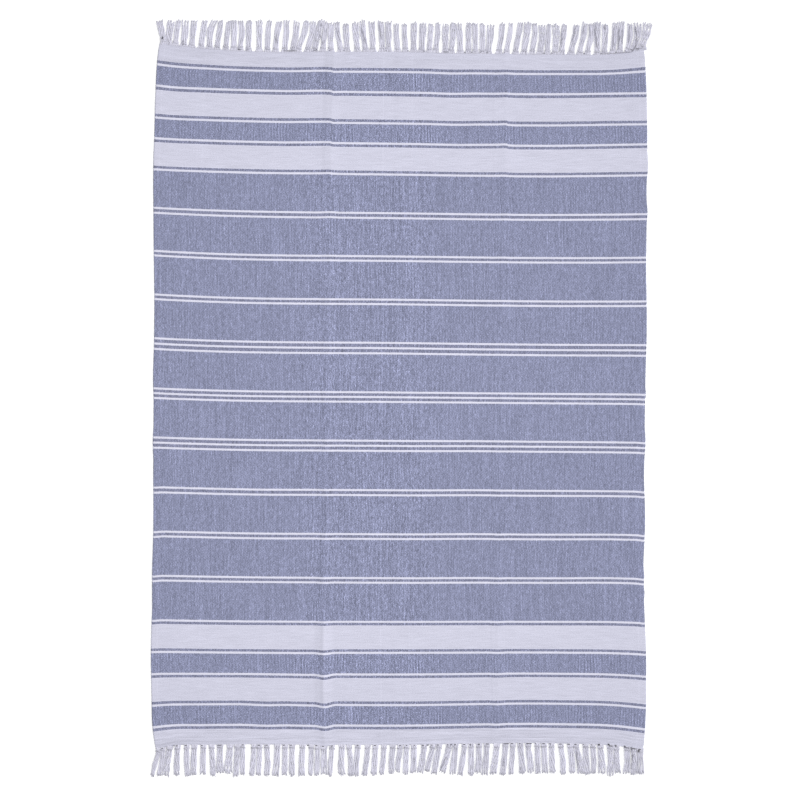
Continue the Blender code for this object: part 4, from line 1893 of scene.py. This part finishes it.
    def make(self, finish: bpy.types.Material) -> bpy.types.Object:
        """Builds and dresses the fringe.

        Args:
            finish: The undyed yarn.

        Returns:
            The fringe, which replaces its CAD node.
        """
        chance = random.Random(self.seed)
        tubes = Tubes()
        for lock in self.locks():
            self.add_yarns(tubes, lock, chance)
            self.add_knot(tubes, lock, chance)
        self.add_painted_shade(tubes)
        made = tubes.make(self.name, finish)
        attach(made, ROOT_BODY)
        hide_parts(self.node)
        return made


@dataclass(frozen=True)
class Studio:
    """The pale floor, the soft light and the camera that looks straight down."""

    photo_side: int = 800
    lens: float = 85.0
    sensor: float = 36.0
    floor_half: float = 40.0
    floor_gap: float = 0.4 * MM
    floor_colour: Colour = (0.99, 0.99, 0.99, 1.0)
    floor_roughness: float = 0.9
    floor_glow: float = 0.14
    fill_strength: float = 0.468
    lamp_share: float = 0.41
    lamp_at: Vector3 = (0.0, 0.02, 2.4)
    lamp_size: float = 0.9
    key_share: float = 0.32
    key_tilt: float = math.radians(50)
    key_heading: float = math.radians(20)
    key_softness: float = math.radians(35)

    def make_floor(self) -> None:
        """Lays the floor just under the rug."""
        half = self.floor_half
        points = np.array([(-half, -half), (half, -half), (half, half), (-half, half)])
        points = np.column_stack([points, np.full(len(points), -self.floor_gap)])
        finish = bpy.data.materials.new("pale_floor")
        finish.use_nodes = True
        shader = finish.node_tree.nodes["Principled BSDF"]
        shader.inputs["Base Color"].default_value = self.floor_colour
        shader.inputs["Emission Color"].default_value = WHITE
        shader.inputs["Emission Strength"].default_value = self.floor_glow
        shader.inputs["Roughness"].default_value = self.floor_roughness
        shader.inputs["Specular IOR Level"].default_value = 0.0
        new_object("pale_floor", points, [[0, 1, 2, 3]], finish)

    def make_light(self) -> None:
        """Sets an even white fill, a soft lamp over the rug and one soft key light from the right."""
        world = bpy.data.worlds.new("soft_fill")
        world.use_nodes = True
        background = world.node_tree.nodes["Background"]
        background.inputs["Color"].default_value = WHITE
        background.inputs["Strength"].default_value = self.fill_strength
        bpy.context.scene.world = world
        above = bpy.data.lights.new("soft_lamp", "AREA")
        above.shape = "DISK"
        above.size = self.lamp_size
        above.energy = self.lamp_share * (math.pi * self.lamp_at[2]) ** 2
        put_in_scene("soft_lamp", above).location = self.lamp_at
        light = bpy.data.lights.new("soft_key", "SUN")
        light.angle = self.key_softness
        light.energy = self.key_share * math.pi / math.cos(self.key_tilt)
        put_in_scene("soft_key", light).rotation_euler = (0.0, self.key_tilt, self.key_heading)

    def make_camera(self) -> None:
        """Hangs the camera over the rug, so that a pixel of the picture is one of the photograph."""
        view_width = self.photo_side * PIXEL
        x, y = photo_x(self.photo_side / 2), photo_y(self.photo_side / 2)
        lens = bpy.data.cameras.new("camera")
        lens.lens = self.lens
        lens.sensor_width = self.sensor
        camera = put_in_scene("camera", lens)
        camera.location = (x, y, self.lens / self.sensor * view_width)
        bpy.context.scene.camera = camera

    def make(self) -> None:
        """Makes the floor, the light and the camera, and keeps the colours and the threads as they are."""
        self.make_floor()
        self.make_light()
        self.make_camera()
        bpy.context.scene.view_settings.view_transform = "Standard"
        bpy.context.scene.cycles.denoising_prefilter = "NONE"


def main() -> None:
    """Builds the studio and the rug, piece by piece."""
    logging.basicConfig(level=logging.INFO, format="%(name)s: %(message)s")
    Studio().make()
    lay = Lay()
    plan = StripePlan(lay.length)
    fuzz = CottonFuzz().group()
    striped = StripedCotton(fuzz).material()
    undyed = UndyedYarn(fuzz).material()

    cloth = WovenCloth(lay, plan).make(striped)
    turns = SelvedgeTurns(lay, plan).make(striped)
    top = Fringe(
        lay=lay,
        name="top_fringe_yarns",
        node="fringe_top",
        side=1,
        shapes=TOP_LOCKS,
        shade_dashes=TOP_SHADE_DASHES,
        shade_streaks=TOP_SHADE_STREAKS,
        dash_out=2.2 * MM,
        dash_shade=-4.5,
        root_flare=1.14,
        knot_shade=-0.6,
        seed=111,
    ).make(undyed)
    bottom = Fringe(
        lay=lay,
        name="bottom_fringe_yarns",
        node="fringe_bottom",
        side=-1,
        shapes=BOTTOM_LOCKS,
        shade_dashes=BOTTOM_SHADE_DASHES,
        shade_streaks=BOTTOM_SHADE_STREAKS,
        dash_out=1.2 * MM,
        dash_shade=-7.0,
        root_flare=0.94,
        knot_shade=-1.5,
        seed=123,
    ).make(undyed)
    for piece in (cloth, turns, top, bottom):
        triangles = sum(len(face.vertices) - 2 for face in piece.data.polygons)
        log.info("%s has %d points and %d triangles", piece.name, len(piece.data.vertices), triangles)


if __name__ == "__main__":
    main()
